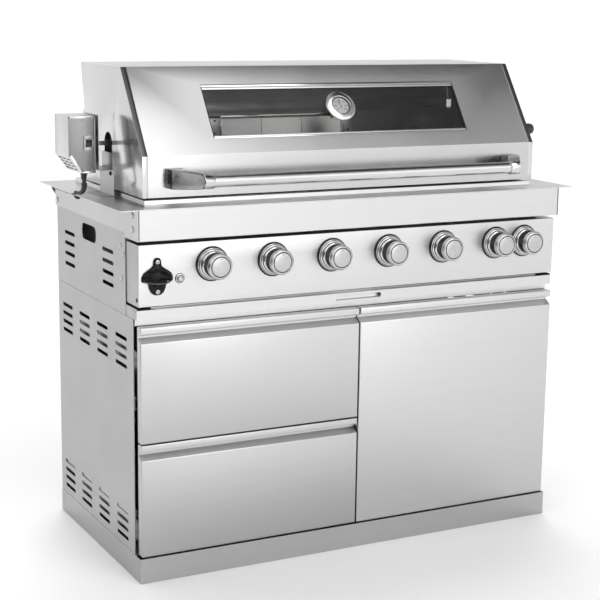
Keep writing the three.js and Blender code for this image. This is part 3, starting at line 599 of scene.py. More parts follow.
def coil_points():
    """Three turns: the outer low one winds inwards, the inner one climbs, and the high one winds out again.
    Each change happens beside or above the turn before it, so no two turns meet."""
    points = []
    steps = 24
    for i in range(3 * steps + 1):
        turns = i / steps
        angle = 2 * math.pi * turns - math.pi / 2
        inward = smooth_step((turns - 0.72) / 0.24)
        outward = smooth_step((turns - 2.22) / 0.24)
        climb = smooth_step((turns - 1.42) / 0.26)
        radius = COIL_WIDE + (COIL_NARROW - COIL_WIDE) * (inward - outward)
        x, depth = COIL_CENTRE[0] + radius * math.cos(angle), COIL_CENTRE[1] + radius * math.sin(angle)
        points.append((x, depth, COIL_LOW + (COIL_HIGH - COIL_LOW) * climb))
    return points


def curve_through(points, steps=6):
    """A centripetal Catmull-Rom curve through points, as closely spaced points."""
    points = [Vector(p) for p in points]
    ends = [points[0] * 2 - points[1]] + points + [points[-1] * 2 - points[-2]]
    line = []

    def between(p, q, start, end):
        return p * ((end - t) / (end - start)) + q * ((t - start) / (end - start))

    for a, b, c, d in zip(ends, ends[1:], ends[2:], ends[3:]):
        t0 = 0.0
        t1 = t0 + (b - a).length ** 0.5
        t2 = t1 + (c - b).length ** 0.5
        t3 = t2 + (d - c).length ** 0.5
        for k in range(steps):
            t = t1 + (t2 - t1) * k / steps
            middle = between(b, c, t1, t2)
            low = between(between(a, b, t0, t1), middle, t0, t2)
            high = between(middle, between(c, d, t2, t3), t1, t3)
            line.append(between(low, high, t1, t2))
    line.append(points[-1])
    return line


def mains_plug():
    """A two-pin plug with a ribbed sleeve, a grip waist and rounded shoulders."""
    depth, z = PLUG_LINE
    body = cuboid((0.0355, 0.035, 0.0255), shift(at(-438, depth, z)))
    edges = [e for e in body.edges if abs((e.verts[0].co - e.verts[1].co).normalized().x) > 0.9]
    bmesh.ops.bevel(body, geom=edges, offset=0.009, segments=5, profile=0.5, affect="EDGES")
    plug = Piece("mains_plug_body").take(rounded(body, 2.2, 3, 40), BLACK_PLASTIC)
    for i in range(5):
        start = at(-457 - i * 2.6, depth, z)
        plug.take(bar(start, start + X * 0.0018, 5 - i * 0.28, 20), BLACK_PLASTIC)
    plug.take(bar(at(-470, depth, z), at(-455, depth, z), 4, 20), BLACK_PLASTIC)
    for side in (depth - 9.5, depth + 9.5):
        plug.take(bar(at(-421, side, z), at(-401, side, z), 2.3, 16, 0.7), CHROME)
    return plug.done("black_plastic", ["cord_plug"])


def coil_tie():
    """A soft wire tie round the coil's turns on its far side."""
    depth = COIL_CENTRE[1] + (COIL_WIDE + COIL_NARROW) / 2
    loop = []
    for i in range(25):
        across, up = math.cos(2 * math.pi * i / 24), math.sin(2 * math.pi * i / 24)
        wide = 7.8 * across / max(abs(across), abs(up)) ** 0.35
        loop.append(at(COIL_CENTRE[0], depth + min(max(wide, -7), 7), 7.8 + 6.9 * up))
    return Piece("coil_tie").take(tube(loop, 0.6, 8), BLACK_PLASTIC).done("black_plastic")


cord_line = curve_through([at(*p) for p in [*ROUTE, *coil_points(), *INTO_PLUG]])
sheath = Piece("mains_cord").take(tube(cord_line, CORD_RADIUS, 12), BLACK_RUBBER)
cord = sheath.done("cord_sheath", ["motor_cord", "cord_coil"], sharp=60)
plug = mains_plug()
tie = coil_tie()

gland_profile = [(0, 0.5), (7.9, 0.5), (8.6, 1.5), (8.6, 4.5), (7.2, 5.5)]
for rib in range(5):
    reach, drop = 6.9 - rib * 0.45, 6 + rib * 4
    gland_profile += [(reach, drop), (reach, drop + 2.2)]
    gland_profile += [(reach - 1.1, drop + 2.8), (reach - 1.1, drop + 3.4)]
gland_profile += [(4.2, 25.6), (0, 25.6)]
gland = Piece("cord_gland_ribbed")
gland.take(lathe(gland_profile, 28), BLACK_PLASTIC, turning(-Z, at(*ROUTE[0][:2], MOTOR_Z[0])))
gland.take(tube(curve_through([at(*p) for p in ROUTE[:5]]), 7.4, 20, 4.1), BLACK_RUBBER)
gland.done("black_plastic", ["cord_gland"])

clips = Piece("cord_clips")
for depth in (400, 480, 560):
    clips.take(block((-606, -594), (depth - 4, depth + 4), (897, 904.4)), STEEL_INNER)
    for x in ((-605.6, -603.8), (-596.2, -594.4)):
        clips.take(block(x, (depth - 4, depth + 4), (888, 898)), STEEL_INNER)
for z in (760, 540, 320, 140):
    clips.take(block((-574, -560), (590.3, 609.8), (z - 4, z + 4)), STEEL_INNER)
    for x in ((-574, -571.6), (-562.4, -560)):
        clips.take(block(x, (606, 618), (z - 4, z + 4)), STEEL_INNER)
clips.done("black_plastic")

# ------ sheet metal
softened("upper_drawer_front", STEEL_UPPER, 1.6)
softened("lower_drawer_front", STEEL_LOWER, 1.6)
softened("cabinet_door", STEEL_DOOR, 1.6)
# The panel's faces that look left take the darker side steel: painted shade.
softened("control_panel", STEEL_FRONT, 1.4, 4, STEEL_Y, -X)
softened("drip_tray", STEEL_FRONT, 0.8)
softened("front_band", STEEL_FRONT, 1.4)
softened("lid_shell", STEEL_SLOPE, 0.8)
# The lid sides' faces along the slope are near black: painted shade.
for node in ("lid_left_side", "lid_right_side"):
    softened(node, STEEL_MIRROR, 1.6, 4, EDGE_STEEL, SLOPE_OUT)
softened("plinth", STEEL_LOW, 1.2)
# The sides and side bands take the darker side steels: painted shade.
paint(STEEL_Y, "cabinet_left_side", "cabinet_right_side", "head_left_side", "head_right_side")
paint(STEEL_BAND, "left_side_band", "right_side_band")
softened("cooktop_deck", STEEL_X, 0.9)
paint(STEEL_X, "cabinet_top_rail")
paint(STEEL_INNER, "cabinet_floor", "cabinet_back", "cabinet_divider", "head_back", "upper_drawer_box",
      "lower_drawer_box")
paint(STEEL_DARK, "firebox", "rear_burner_housing")
paint(BURNER_STEEL, *[f"burner_{i}" for i in range(1, 7)])
paint(BRASS, "gas_manifold")
paint(GLASS, "window_glass")
paint(ROD_STEEL, "spit_rod")

# ------ knobs and their bezels
OUT = spin(90, "X")  # takes +Z to the front


def knob_place(x, depth):
    return shift(at(x, depth, KNOB_Z)) @ OUT


BEZEL = [(0, 0), (41.5, 0), (41.5, 1.4), (41, 3), (39.6, 5), (38, 6.2), (37.2, 6.4), (36.6, 6), (36.4, 7),
         (35.8, 8.8), (34.6, 9.9), (33, 10.3), (31.9, 9.9), (31.2, 8.8), (31, 4), (0, 4)]
# A dark metal skin over the outer flank of each bezel: painted dark reflection.
BEZEL_FLANK_DARK_REFLECTION = [(38.5, 1), (41.7, 1), (41.7, 1.6), (41.2, 3.2), (39.8, 5.2), (38.5, 6.1), (38.5, 1)]
bezels = Piece("knob_bezels")
for x in KNOB_X:
    seat = knob_place(x, PANEL_DEPTH - 0.2)
    bezels.take(lathe(BEZEL, 72), CHROME, seat)
    # Thin black rings in the gaps at the bezel's foot, its step and its inner edge: painted shade.
    for inner, outer, height in ((41.5, 42.3, 0.5), (36.2, 37.1, 6.45), (30.4, 31.3, 9.3)):
        bezels.take(collar(inner, outer, -0.2, height, 72), SHADOW_BLACK, seat)
    # The dark flank skin: painted dark reflection.
    bezels.take(lathe(BEZEL_FLANK_DARK_REFLECTION, 72), CHROME_DARK, seat)
bezels.done("chrome")


def knob(number, x):
    """A flanged base, a knurled grip, a neck, a bevelled rim and a satin cap with one dot at the top."""
    piece = Piece(f"knob_{number}_turned")
    place = knob_place(x, 0)
    base = [(0, 1.6), (30, 1.6), (32.6, 2), (33, 3.4), (32.4, 5), (30.6, 6.2), (29.6, 7), (0, 7)]
    grip = [(0, 6.4), (29.6, 6.6), (30, 8), (30, 27), (29.4, 28), (0, 28.2)]
    neck = [(0, 27.4), (29.4, 27.6), (30, 28.4), (30, 31.4), (29.2, 32), (29.2, 34), (0, 34)]
    rim = [(0, 33), (29.3, 33), (30.6, 33.6), (31, 35), (31, 37.4), (30.4, 38.8), (27.6, 41.8),
           (26.4, 42.3), (25.6, 42.1), (25.1, 41.4), (24.9, 39.6), (0, 39.6)]
    cap = [(0, 39.8), (22.9, 39.8), (23.1, 41.6), (22.4, 42.6), (19.8, 43.2), (12, 43.8), (0, 44)]
    piece.take(lathe(base, 72), CHROME, place)
    piece.take(lathe(grip, 120, lambda i: 1 if i % 2 else 0.968), CHROME_DARK, place)
    for profile in (neck, rim):
        piece.take(lathe(profile, 72), CHROME_SATIN, place)
    # A dark disc at the bottom of the groove round the cap: painted shade.
    piece.take(disc(25, 39, 40.2, 48), CHROME_DARK, place)
    piece.take(lathe(cap, 72), SATIN, place)
    dot = lathe([(0, 42.4), (1.3, 42.4), (1.2, 43.6), (0, 43.7)], 16)
    piece.take(dot, BLACK_PLASTIC, place @ shift((0, 0.0185, 0)))
    piece.done("knob_chrome", [f"knob_{number}"], f"knob_{number}", sharp=40)


for number, x in enumerate(KNOB_X, 1):
    knob(number, x)

# ------ ignition button and bottle opener
BUTTON_X, BUTTON_Z = -486, 740
button_seat = shift(at(BUTTON_X, PANEL_DEPTH, BUTTON_Z)) @ OUT
ring_profile = [(7.3, -0.3), (11.2, -0.3), (11.2, 1.2), (10.2, 2.6), (8.4, 3), (7.3, 2.2), (7.3, -0.3)]
ring = Piece("button_ring").take(lathe(ring_profile, 48), CHROME, button_seat)
# Thin black rings in the gaps round the ring: painted shade.
for inner, outer, height in ((11.2, 12.2, 0.4), (6.6, 7.4, 3.4)):
    ring.take(collar(inner, outer, -0.2, height, 48), SHADOW_BLACK, button_seat)
ring.done("chrome")
button_cap = lathe([(0, -4), (6.6, -4), (6.6, 4.6), (6, 5.8), (4.6, 6.4), (3.2, 5.9), (0, 5.6)], 40)
button = Piece("ignition_button_cap").take(button_cap, SATIN, button_seat)
button.done("chrome", ["ignition_button"], "button")


def hood_swell(x, z):
    """How far the casting rises under its hood, in millimetres."""
    return 7 * max(0.0, 1 - (x / 38) ** 2) * max(0.0, 1 - ((z - 752) / 22) ** 2)


def opener():
    """A cast opener: an ear and a tongue for its screws, and between them a hood with wide shoulders."""
    middle_x, middle_z = -543.5, 745
    half = [(0, 793), (6, 791.5), (9.2, 786), (9.5, 779), (10.5, 774), (16, 769), (26, 763), (34, 757),
            (38.5, 749), (39, 741), (37.5, 736.5), (30, 737.5), (25, 738), (22.5, 732), (20.5, 722),
            (15.8, 711), (8.6, 705.4), (0, 704)]
    outline = half + [(-x, z) for x, z in half[-2:0:-1]]
    shape = bmesh.new()
    rings = []
    for scale, rise, share in ((1, 0, 0), (1, 3.2, 0.5), (0.97, 4.6, 1), (0.8, 5.2, 1), (0.45, 5.4, 1)):
        ring = []
        for full_x, full_z in outline:
            x, z = full_x * scale, middle_z + (full_z - middle_z) * scale
            depth = PANEL_DEPTH - 0.3 - rise - hood_swell(x, z) * share
            ring.append(shape.verts.new(at(middle_x + x, depth, z)))
        rings.append(ring)
    join_rings(shape, rings)
    shape.faces.new(rings[0][::-1])
    bmesh.ops.triangulate(shape, faces=[shape.faces.new(rings[-1])])
    piece = Piece("bottle_opener_cast").take(shape, BLACK_COAT)
    hood = bmesh.new()
    bmesh.ops.create_uvsphere(hood, u_segments=40, v_segments=24, radius=1)
    moved(hood, shift(at(middle_x, PANEL_DEPTH - 1, 746)) @ Matrix.Diagonal((0.036, 0.0235, 0.0225, 1)))
    for depth, normal in ((0, (0, -0.55, -0.83)), (PANEL_DEPTH - 0.5, Y)):
        geometry = hood.verts[:] + hood.edges[:] + hood.faces[:]
        bmesh.ops.bisect_plane(hood, geom=geometry, plane_co=at(middle_x, depth, 741), plane_no=normal,
                               clear_outer=True)
    bmesh.ops.solidify(hood, geom=hood.faces[:], thickness=0.0032)
    piece.take(hood, BLACK_COAT)
    half_lip = [(34, 5, 739), (26, 14, 737), (13, 20.5, 735)]
    whole_lip = [(-x, d, z) for x, d, z in half_lip] + [(0, 22.5, 734.5)] + half_lip[::-1]
    lip = curve_through([at(middle_x + x, PANEL_DEPTH - d, z) for x, d, z in whole_lip], 5)
    # The lip is a paler metal tube: painted highlight.
    piece.take(tube(lip, 2.1, 10), LIP_HIGHLIGHT)
    piece.take(block((middle_x - 10, middle_x + 10), (-4, PANEL_DEPTH - 3), (726, 730.5), 1.4), BLACK_COAT)
    for z in (783, 713):
        seat = turning(FORWARD, at(middle_x, PANEL_DEPTH - 5.6, z))
        piece.take(pan_screw(5.6, 2.6), CHROME_SATIN, seat)
        # A dark hexagon in each screw head: painted shade in its recess.
        piece.take(disc(1.9, 2.4, 2.95, 6), CHROME_DARK, seat)
    piece.done("black_iron", ["bottle_opener"], sharp=50)


opener()

# ------ lid: handle, window trim and thermometer
BAR_DEPTH, BAR_Z, BAR_RADIUS = -20, 968, 14.5
ARM_LEAN = Vector((0.561, -0.828, 0))  # out from the lid and towards the grill's middle
half_bar = [(BAR_RADIUS, 412.2), (15.2, 412.6), (15.2, 414.6), (16.8, 414.8), (17.5, 416), (17.5, 440),
            (16.6, 441), (0, 441)]
whole_bar = [(reach, -along) for reach, along in half_bar[::-1]] + half_bar
handle = Piece("lid_handle_tube").take(lathe(whole_bar, 56), CHROME, turning(X, at(0, BAR_DEPTH, BAR_Z)))
handle.done("chrome", ["lid_handle_bar"], "lid")


def arm_outline(start, near, foot, waist, end):
    """A tapering arm with a round end: its half heights at its foot, its waist and its end."""
    above = [(84, end), (52, waist), (near, foot)]
    bend = [math.radians(a) for a in range(15, 180, 15)]
    outline = [(along, -up) for along, up in above[::-1]]
    outline += [(84 + end * math.sin(a), -end * math.cos(a)) for a in bend]
    return [start + ARM_LEAN * (along / 1000) + Z * (up / 1000) for along, up in outline + above]


def handle_bracket(side):
    """A cast arm: a flat outer face with a round end at the bar, and a foot with a pocket on the lid. The arm
    and foot are a darker copy of the metal than the outer face, as painted shade on the edges, and the pocket
    is a black block, painted shadow.
    """
    name = "handle_bracket_" + ("right" if side > 0 else "left")
    inward = Vector((0.828, 0.561, 0))
    corner = at(-497, 50, BAR_Z)
    foot_line = [(-495, 71), (-495, 63), (-492, 42), (-463, 58), (-452, 71)]
    pocket_line = [(-495.6, 62), (-493.9, 48), (-491.9, 48.4), (-493.6, 62.4)]
    parts = [
        (arm_outline(corner, 7, 23.5, 20.5, 18), inward * 0.031, 2.4, BRACKET_SHADED_EDGE),
        (arm_outline(corner - inward * 0.0005, 10, 21.4, 18.6, 16.1), inward * 0.002, 0.3, BRACKET_FACE),
        ([at(x, depth, BAR_Z - 23.5) for x, depth in foot_line], Z * 0.047, 2.6, BRACKET_SHADED_EDGE),
        # The pocket is a black block: painted shadow.
        ([at(x, depth, BAR_Z - 11) for x, depth in pocket_line], Z * 0.022, 0, SHADOW_BLACK),
    ]
    piece = Piece(name + "_cast")
    for outline, lift, edge, material in parts:
        shape = moved(prism(outline, lift, edge), Matrix.Diagonal((-side, 1, 1, 1)))
        bmesh.ops.recalc_face_normals(shape, faces=shape.faces)
        piece.take(shape, material)
    piece.done("chrome", [name], "lid")


for side in (-1, 1):
    handle_bracket(side)


def slope_bar(low, high, out, x, width, edge):
    """A bar on the lid's slope between two distances up it, from 3 mm inside to a distance out of it."""
    outline = [slope_point(a, o, x) for a, o in ((low, -3), (high, -3), (high, out), (low, out))]
    return prism(outline, X * width / 1000, edge)


trim = Piece("window_trim")
for low, high, out, edge, material in ((184.9, 191.5, 0.4, 1, CHROME), (178.1, 184.7, -0.6, 1, STEEL_FRONT),
                                       (41.6, 45.2, 0.3, 0.7, CHROME), (45.5, 50.5, -0.8, 0.8, STEEL_FRONT)):
    trim.take(slope_bar(low, high, out, -361, 722, edge), material)
trim.done("chrome", body="lid")
gasket = Piece("window_gasket")
for side in (-1, 1):
    low, high, x = WINDOW_ALONG[0] + 1, WINDOW_ALONG[1] - 1, side * (WINDOW_HALF - 0.3)
    gasket.take(slope_bar(low, high, -0.3, x, -side * 2.6, 0.2), BLACK_RUBBER)
gasket.done("black_plastic", body="lid")


def thermometer():
    """A flared chrome bezel round a dial with ticks, numbers and a needle, and its stem inside the lid."""
    piece = Piece("lid_thermometer_dial")
    place = shift(slope_point(117.3)) @ axes(X, SLOPE_UP, SLOPE_OUT)
    bezel_profile = [(0, -2.6), (26, -2.6), (30, 0), (37, 6), (40.4, 9.4), (41, 11.4), (40.3, 13.2),
                     (38, 14.6), (32, 16), (26.6, 16.6), (25.4, 16), (25.2, 12.2), (0, 12.2)]
    piece.take(lathe(bezel_profile, 80), CHROME, place)
    piece.take(disc(25.1, 12, 12.6, 64), DIAL, place)
    piece.take(collar(22.6, 25.1, 12.4, 12.9, 64), BLACK_PLASTIC, place)
    for i in range(31):
        long, wide = (0.0044, 0.0012) if i % 5 == 0 else (0.0024, 0.0007)
        turn = spin(225 - i * 9, "Z")
        tick = cuboid((long, wide, 0.0003), turn @ shift((0.0224 - long / 2, 0, 0.01265)))
        piece.take(tick, BLACK_PLASTIC, place)
    corners = [(-0.9, -6), (0.9, -6), (0.9, 4), (0.3, 17), (-0.3, 17), (-0.9, 4)]
    needle = prism([mm(x, y, 0) for x, y in corners], Z * 0.0006, 0)
    tilt = shift((0, 0, 0.0135)) @ spin(8, "Z")
    piece.take(needle, BLACK_PLASTIC, place @ tilt)
    piece.take(lathe([(0, 12.4), (2.2, 12.4), (2, 15), (0, 15.3)], 24), CHROME, place)
    piece.take(lathe([(0, -45), (2.5, -45), (4, -42), (4, -3.5), (0, -3.5)], 20), STEEL_INNER, place)
    piece.take(disc(9, -9.4, -7.6, 6), SCREW, place)
    piece.done("chrome", ["lid_thermometer"], "lid", sharp=30)
    for i in range(7):
        angle = math.radians(225 - i * 45)
        text = bpy.data.curves.new("dial_number", "FONT")
        text.body = str(50 * (i + 1))
        text.size = 0.0052
        text.align_x, text.align_y = "CENTER", "CENTER"
        text.extrude = 0.00012
        number = bpy.data.objects.new("dial_number", text)
        flat = bpy.data.meshes.new_from_object(number)
        bpy.data.objects.remove(number)
        flat.transform(place @ shift(mm(math.cos(angle) * 14.2, math.sin(angle) * 14.2, 12.7)))
        flat.materials.clear()
        flat.materials.append(BLACK_PLASTIC)
        label = show(f"dial_number_{i}", flat)
        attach(label, "lid")


thermometer()

pivots = Piece("lid_pivot_caps")
for side in (-1, 1):
    cap = lathe([(0, 0), (11, 0), (11, 1.2), (9.4, 2.4), (5, 3), (0, 3.1)], 32)
    pivots.take(cap, SCREW, turning(side * X, at(side * HOOD_HALF, 470, 985)))
pivots.done("chrome", body="lid")

# ------ rotisserie
def motor():
    """A folded casing: a recessed front plate between turned rims, a chamfer with vents and a cover's seam.
    The vents and the seam are thin black slips: painted shadow.
    """
    (left, right_x), (near, far), (low, high) = MOTOR_X, MOTOR_DEPTH, MOTOR_Z
    corners = [(left, low + 40), (left, high), (right_x, high), (right_x, low), (left + 30, low)]
    casing = prism([at(x, near + 3, z) for x, z in corners], Y * (far - near - 3) / 1000, 1.2)
    piece = Piece("motor_casing").take(casing, STEEL_X)
    plate = [(right_x - 4, low + 5), (right_x - 4, high - 5), (left + 3, high - 5), (left + 3, low + 41.2),
             (left + 32, low + 5)]
    piece.take(prism([at(x, near + 1.2, z) for x, z in plate], Y * 0.003, 0.4), MOTOR_FACE)
    middle = Vector(((left + right_x) / 2, (low + high) / 2))
    for start, end in zip(corners, corners[1:] + corners[:1]):
        start, end = Vector(start), Vector(end)
        inward = (end - start).orthogonal().normalized()
        if inward.dot(middle - start) < 0:
            inward = -inward
        slanted, upright = abs(inward.x * inward.y) > 0.1, abs(end.x - start.x) < 1
        inner = inward * (8 if slanted else 3.4)
        rim = [at(c.x, near, c.y) for c in (start, end, end + inner, start + inner)]
        piece.take(prism(rim, Y * 0.0036, 0.5), MOTOR_FACE if upright else CHROME)
    top, bottom = high - 7.5, low + 7.5
    places = [(left + 12, top), (left + 35, top), (right_x - 9, top), (left + 37, bottom),
              (right_x - 9, bottom)]
    for x, z in places:
        piece.take(pan_screw(2.1, 1.0), SCREW, turning(FORWARD, at(x, near + 0.6, z)))
    # The vents are thin black slips on the chamfer: painted shadow.
    slope, out = Vector((0.6, 0, -0.8)), Vector((-0.8, 0, -0.6))
    lie = axes(slope, Y, out)
    for row in range(4):
        for column in range(3):
            centre = at(left, near + 22 + column * 31, low + 40) + slope * (0.0095 + row * 0.0104)
            vent = cuboid((0.0034, 0.021, 0.0005), shift(centre + out * 0.00012) @ lie)
            piece.take(vent, SHADOW_BLACK)
    # The seam is a thin black strip: painted shadow.
    seam = block((left + 0.6, right_x - 0.2), (near + 58, near + 59.2), (high - 0.3, high - 0.02), 0)
    piece.take(seam, SHADOW_BLACK)
    drive = [(0, -1), (15, -1), (15, 2.2), (12, 4.6), (8, 5.4), (8, 2), (0, 2)]
    piece.take(lathe(drive, 32), STEEL_DARK, turning(X, at(right_x, *SPIT)))
    piece.done("brushed_steel", ["motor_housing"])


motor()

switch_frame = Piece("motor_switch_bezel")
for x, z in (((-636, -611), (1047.6, 1057)), ((-636, -611), (1020, 1029.4)), ((-636, -630.2), (1029, 1048)),
             ((-614.8, -611), (1029, 1048))):
    switch_frame.take(block(x, (242.4, 246), z, 0.9), MOTOR_TRIM)
switch_frame.done("chrome")
for z in (1053, 1024):
    screws(f"switch_screw_{z}", [(-623.5, 242.6, z)], FORWARD, 1.7, 0.8)


def rocker():
    """A rocker whose face dips in the middle, with ridges across its upper half."""
    profile = [(4, -8.8), (-3.2, -8.2), (-1.6, -3.08), (-1.2, 0), (-1.7, 3.08), (-3.4, 8.2), (4, 8.8)]
    outline = [mm(-6.9, y, z) for y, z in profile]
    piece = Piece("motor_rocker").take(prism(outline, X * 0.0138, 0.5), BLACK_PLASTIC)
    for i in range(3):
        lift = shift(mm(0, -2.2 - i * 0.45, 3.6 + i * 1.5))
        piece.take(cuboid((0.0118, 0.0014, 0.0005), lift), BLACK_PLASTIC)
    moved(piece.mesh, shift(at(-622.5, 245, 1038.5)) @ spin(8, "X"))
    piece.done("black_plastic", ["motor_switch"], "rocker")


rocker()
softened("motor_bracket", STEEL_PLATE, 1.2)
for side, x in (("left", (-558.3, -557)), ("right", (557, 558.3))):
    cover = Piece(f"spit_slot_cover_{side}").take(block(x, (262, 333), (969, 1011), 0.3), STEEL_Y)
    cover.done("brushed_steel")
screws("bracket_bolt", [(-560, 269, 961)], -X, 5, 3, BLACK_PLASTIC)

# A turned handle with swellings for the hand, and a metal ferrule.
GRIP = [(0, 606), (12, 606), (14.6, 610), (15.2, 618), (13.4, 630), (12.4, 645), (13, 660), (14.8, 676),
        (15.8, 694), (15.6, 704), (13.6, 712), (9, 716), (0, 716)]
FERRULE = [(0, 604), (9.5, 604), (10.8, 605), (10.8, 609), (0, 609)]
spit_line = turning(X, at(0, *SPIT))
spit_grip = Piece("spit_grip").take(lathe(GRIP, 40), BLACK_PLASTIC, spit_line)
spit_grip.take(lathe(FERRULE, 32), CHROME, spit_line).done("black_plastic", ["spit_handle"], "spit")


def spit_fork(name, x, side):
    """A square collar with a thumbscrew under it and four bent tines that point to the middle."""
    piece = Piece(name)
    depth, z = SPIT
    piece.take(block((x - 9, x + 9), (depth - 9, depth + 9), (z - 9, z + 9), 1.5), CHROME)
    piece.take(bar(at(x, depth, z - 8), at(x, depth, z - 20), 2.5), SCREW)
    piece.take(block((x - 8, x + 8), (depth - 1.6, depth + 1.6), (z - 32, z - 19), 1.4), SCREW)
    for reach in (-1, 1):
        for lift in (-3, 3):
            tine = [(0, 6), (0, 22), (8, 30), (60, 31), (118, 31)]
            line = [at(x + side * ahead, depth + reach * out, z + lift) for ahead, out in tine]
            piece.take(tube(curve_through(line, 5), 2.4, 10), CHROME)
    piece.done("chrome", body="spit")


spit_fork("spit_fork_left", -230, 1)
spit_fork("spit_fork_right", 230, -1)

# ------ inside the firebox and behind the window
GRATE_HALF, GRATE_TOP = 176, 889
GRATE_FRONT, GRATE_REAR = 95, 546
for name, middle in (("left", -357), ("centre", 0), ("right", 357)):
    grate = Piece(f"grate_{name}_rods")
    for i in range(15):
        x = middle - GRATE_HALF + 4 + i * (2 * GRATE_HALF - 8) / 14
        ends = [at(x, depth, GRATE_TOP - 4.2) for depth in (GRATE_FRONT + 2, GRATE_REAR - 2)]
        grate.take(bar(*ends, 4, 12), CHROME)
    for depth in (GRATE_FRONT + 6, (GRATE_FRONT + GRATE_REAR) / 2, GRATE_REAR - 6):
        ends = [at(x, depth, GRATE_TOP - 7.4) for x in (middle - GRATE_HALF, middle + GRATE_HALF)]
        grate.take(bar(*ends, 3.4, 12), CHROME)
    grate.done("grate_steel", [f"cooking_grate_{name}"])

for number, x in enumerate(BURNER_X, 1):
    tamer = Piece(f"flame_tamer_{number}")
    for side in (-1, 1):
        ridge = [(0, 858), (58, 832), (58, 824), (56.8, 824), (56.8, 831), (0, 856.6)]
        tamer.take(prism([at(x + side * reach, 100, z) for reach, z in ridge], Y * 0.44, 0.3), STEEL_DARK)
        # The tamer's slots are thin black slips: painted shadow.
        for i in range(6):
            spot = shift(at(x + side * 30, 150 + i * 68, 845.2))
            tamer.take(cuboid((0.0064, 0.032, 0.0007), spot @ spin(side * 24.1, "Y")), SHADOW_BLACK)
    tamer.done("inner_steel")
    # The burner's ports are black discs: painted shadow in the holes.
    ports = Piece(f"burner_ports_{number}")
    for side in (-1, 1):
        for i in range(38):
            seat = turning((side * 15.7, 0, 8.8), at(x + side * 15.7, 140 + i * 10, 808.8))
            ports.take(disc(1.3, -0.2, 0.35, 8), SHADOW_BLACK, seat)
    ports.done("burner_steel")

TILE_PITCH = 122
tiles = Piece("ceramic_tile_set")
for x in (-TILE_PITCH, 0, TILE_PITCH):
    tiles.take(block((x - 60.6, x + 60.6), (455, 467.6), (1002, 1076), 0.8), CERAMIC)
tiles.done("ceramic", ["ceramic_tiles"])

rear = Piece("rear_burner_frame")
rear.take(block((-222, 222), (449, 452.6), (1071, 1080), 1.2), CHROME)
rear.take(block((-222, 222), (448, 452.6), (996, 1006), 1), STEEL_INNER)
for side in (-1, 1):
    rear.take(block(sorted((side * 184, side * 220)), (449, 452.8), (998, 1080), 0.8), STEEL_FRONT)
    rear.take(block(sorted((side * 183, side * 186)), (446, 453), (1004, 1074), 0.5), CHROME)
    for z in (1032, 1066):
        rear.take(pan_screw(3.2, 1.6), BLACK_PLASTIC, turning(FORWARD, at(side * 202, 449, z)))
for x in (-TILE_PITCH / 2, TILE_PITCH / 2):
    rear.take(block((x - 1.4, x + 1.4), (452.6, 456), (1006, 1072), 0.4), STEEL_FRONT)
rear.take(block((-532, 532), (462, 463.4), (1079, 1113), 0.3), STEEL_DARK)
rear.done("inner_steel")

# ------ screws, slides and hinges
SIDE_SCREWS = [
    # name, half width, (depth, z) places, head radius and height, material
    ("band_screws", 594, [(36, 891), (36, 858), (582, 860)], 6.2, 3.2, CHROME),
    ("head_screws", 592, [(119, 809), (101, 789), (113, 729.5)], 4.4, 2.2, CHROME),
    ("panel_side_screws", 589.7, [(22, 693)], 4.6, 1.4, CHROME_DARK),
]
for name, x, spots, radius, height, material in SIDE_SCREWS:
    for word, side in (("left", -1), ("right", 1)):
        full_name = name if (name, side) == ("panel_side_screws", -1) else f"{name}_{word}"
        places = [(side * x, depth, z) for depth, z in spots]
        screws(full_name, places, side * X, radius, height, material)
screws("back_screws", [(x, 590, z) for x in (-570, -190, 190, 570) for z in (80, 626, 662, 888)], Y, 3.6)

tray_returns = Piece("drip_tray_end_returns")
for side in (-1, 1):
    tray_returns.take(block(sorted((side * 590.6, side * 591.9)), (18, 87), (645, 672.4), 0.3), STEEL_Y)
tray_returns.done("brushed_steel", body="drip_tray")

SLIDES = [
    # name, the x of its web, the x of its rolled edges, the face that its screws stand on
    ("left_fixed", (-590, -588.4), -586.6, (X, -588.4)),
    ("left_moving", (-575.8, -574.3), -578, (-X, -575.8)),
    ("right_fixed", (-2.9, -1.3), -4.7, (-X, -2.9)),
    ("right_moving", (-14.7, -13.2), -10.8, (X, -13.2)),
]
for drawer, z in (("upper_drawer", 440), ("lower_drawer", 158)):
    for name, x, edge_x, (normal, face) in SLIDES:
        body, (near, far) = (drawer, (34, 534)) if "moving" in name else ("grill_body", (40, 548))
        slide = Piece(f"{drawer}_slide_{name}")
        slide.take(block(x, (near, far), (z - 16, z + 16), 0.4), STEEL_INNER)
        for edge_z in (z - 13.76, z + 13.76):
            slide.take(bar(at(edge_x, near, edge_z), at(edge_x, far, edge_z), 2, 10), STEEL_INNER)
        for spot in (60, 200, 340, 440):
            slide.take(pan_screw(3, 1), SCREW, turning(normal, at(face, near + spot, z)))
        slide.done("inner_steel", body=body)

HINGE_X, HINGE_DEPTH = 583, 26
for place, z in (("upper", 560), ("lower", 130)):
    fixed = Piece(f"door_hinge_{place}_fixed")
    fixed.take(block((588.4, 590), (43, 88), (z - 22, z + 22), 0.5), STEEL_INNER)
    for arm_z in ((z - 20, z - 10), (z + 10, z + 20)):
        fixed.take(block((580.2, 584), (31.4, 46), arm_z, 0.6), STEEL_INNER)
        fixed.take(block((580.2, 589.6), (43, 46.4), arm_z, 0.6), STEEL_INNER)
    fixed.done("inner_steel")
    pin = bar(at(HINGE_X, HINGE_DEPTH, z - 22), at(HINGE_X, HINGE_DEPTH, z + 22), 2.6)
    moving = Piece(f"door_hinge_{place}_moving").take(pin, SCREW)
    moving.take(block((540, HINGE_X), (24.6, 26.4), (z - 7.4, z + 7.4), 0.5), STEEL_INNER)
    moving.done("inner_steel", body="door")

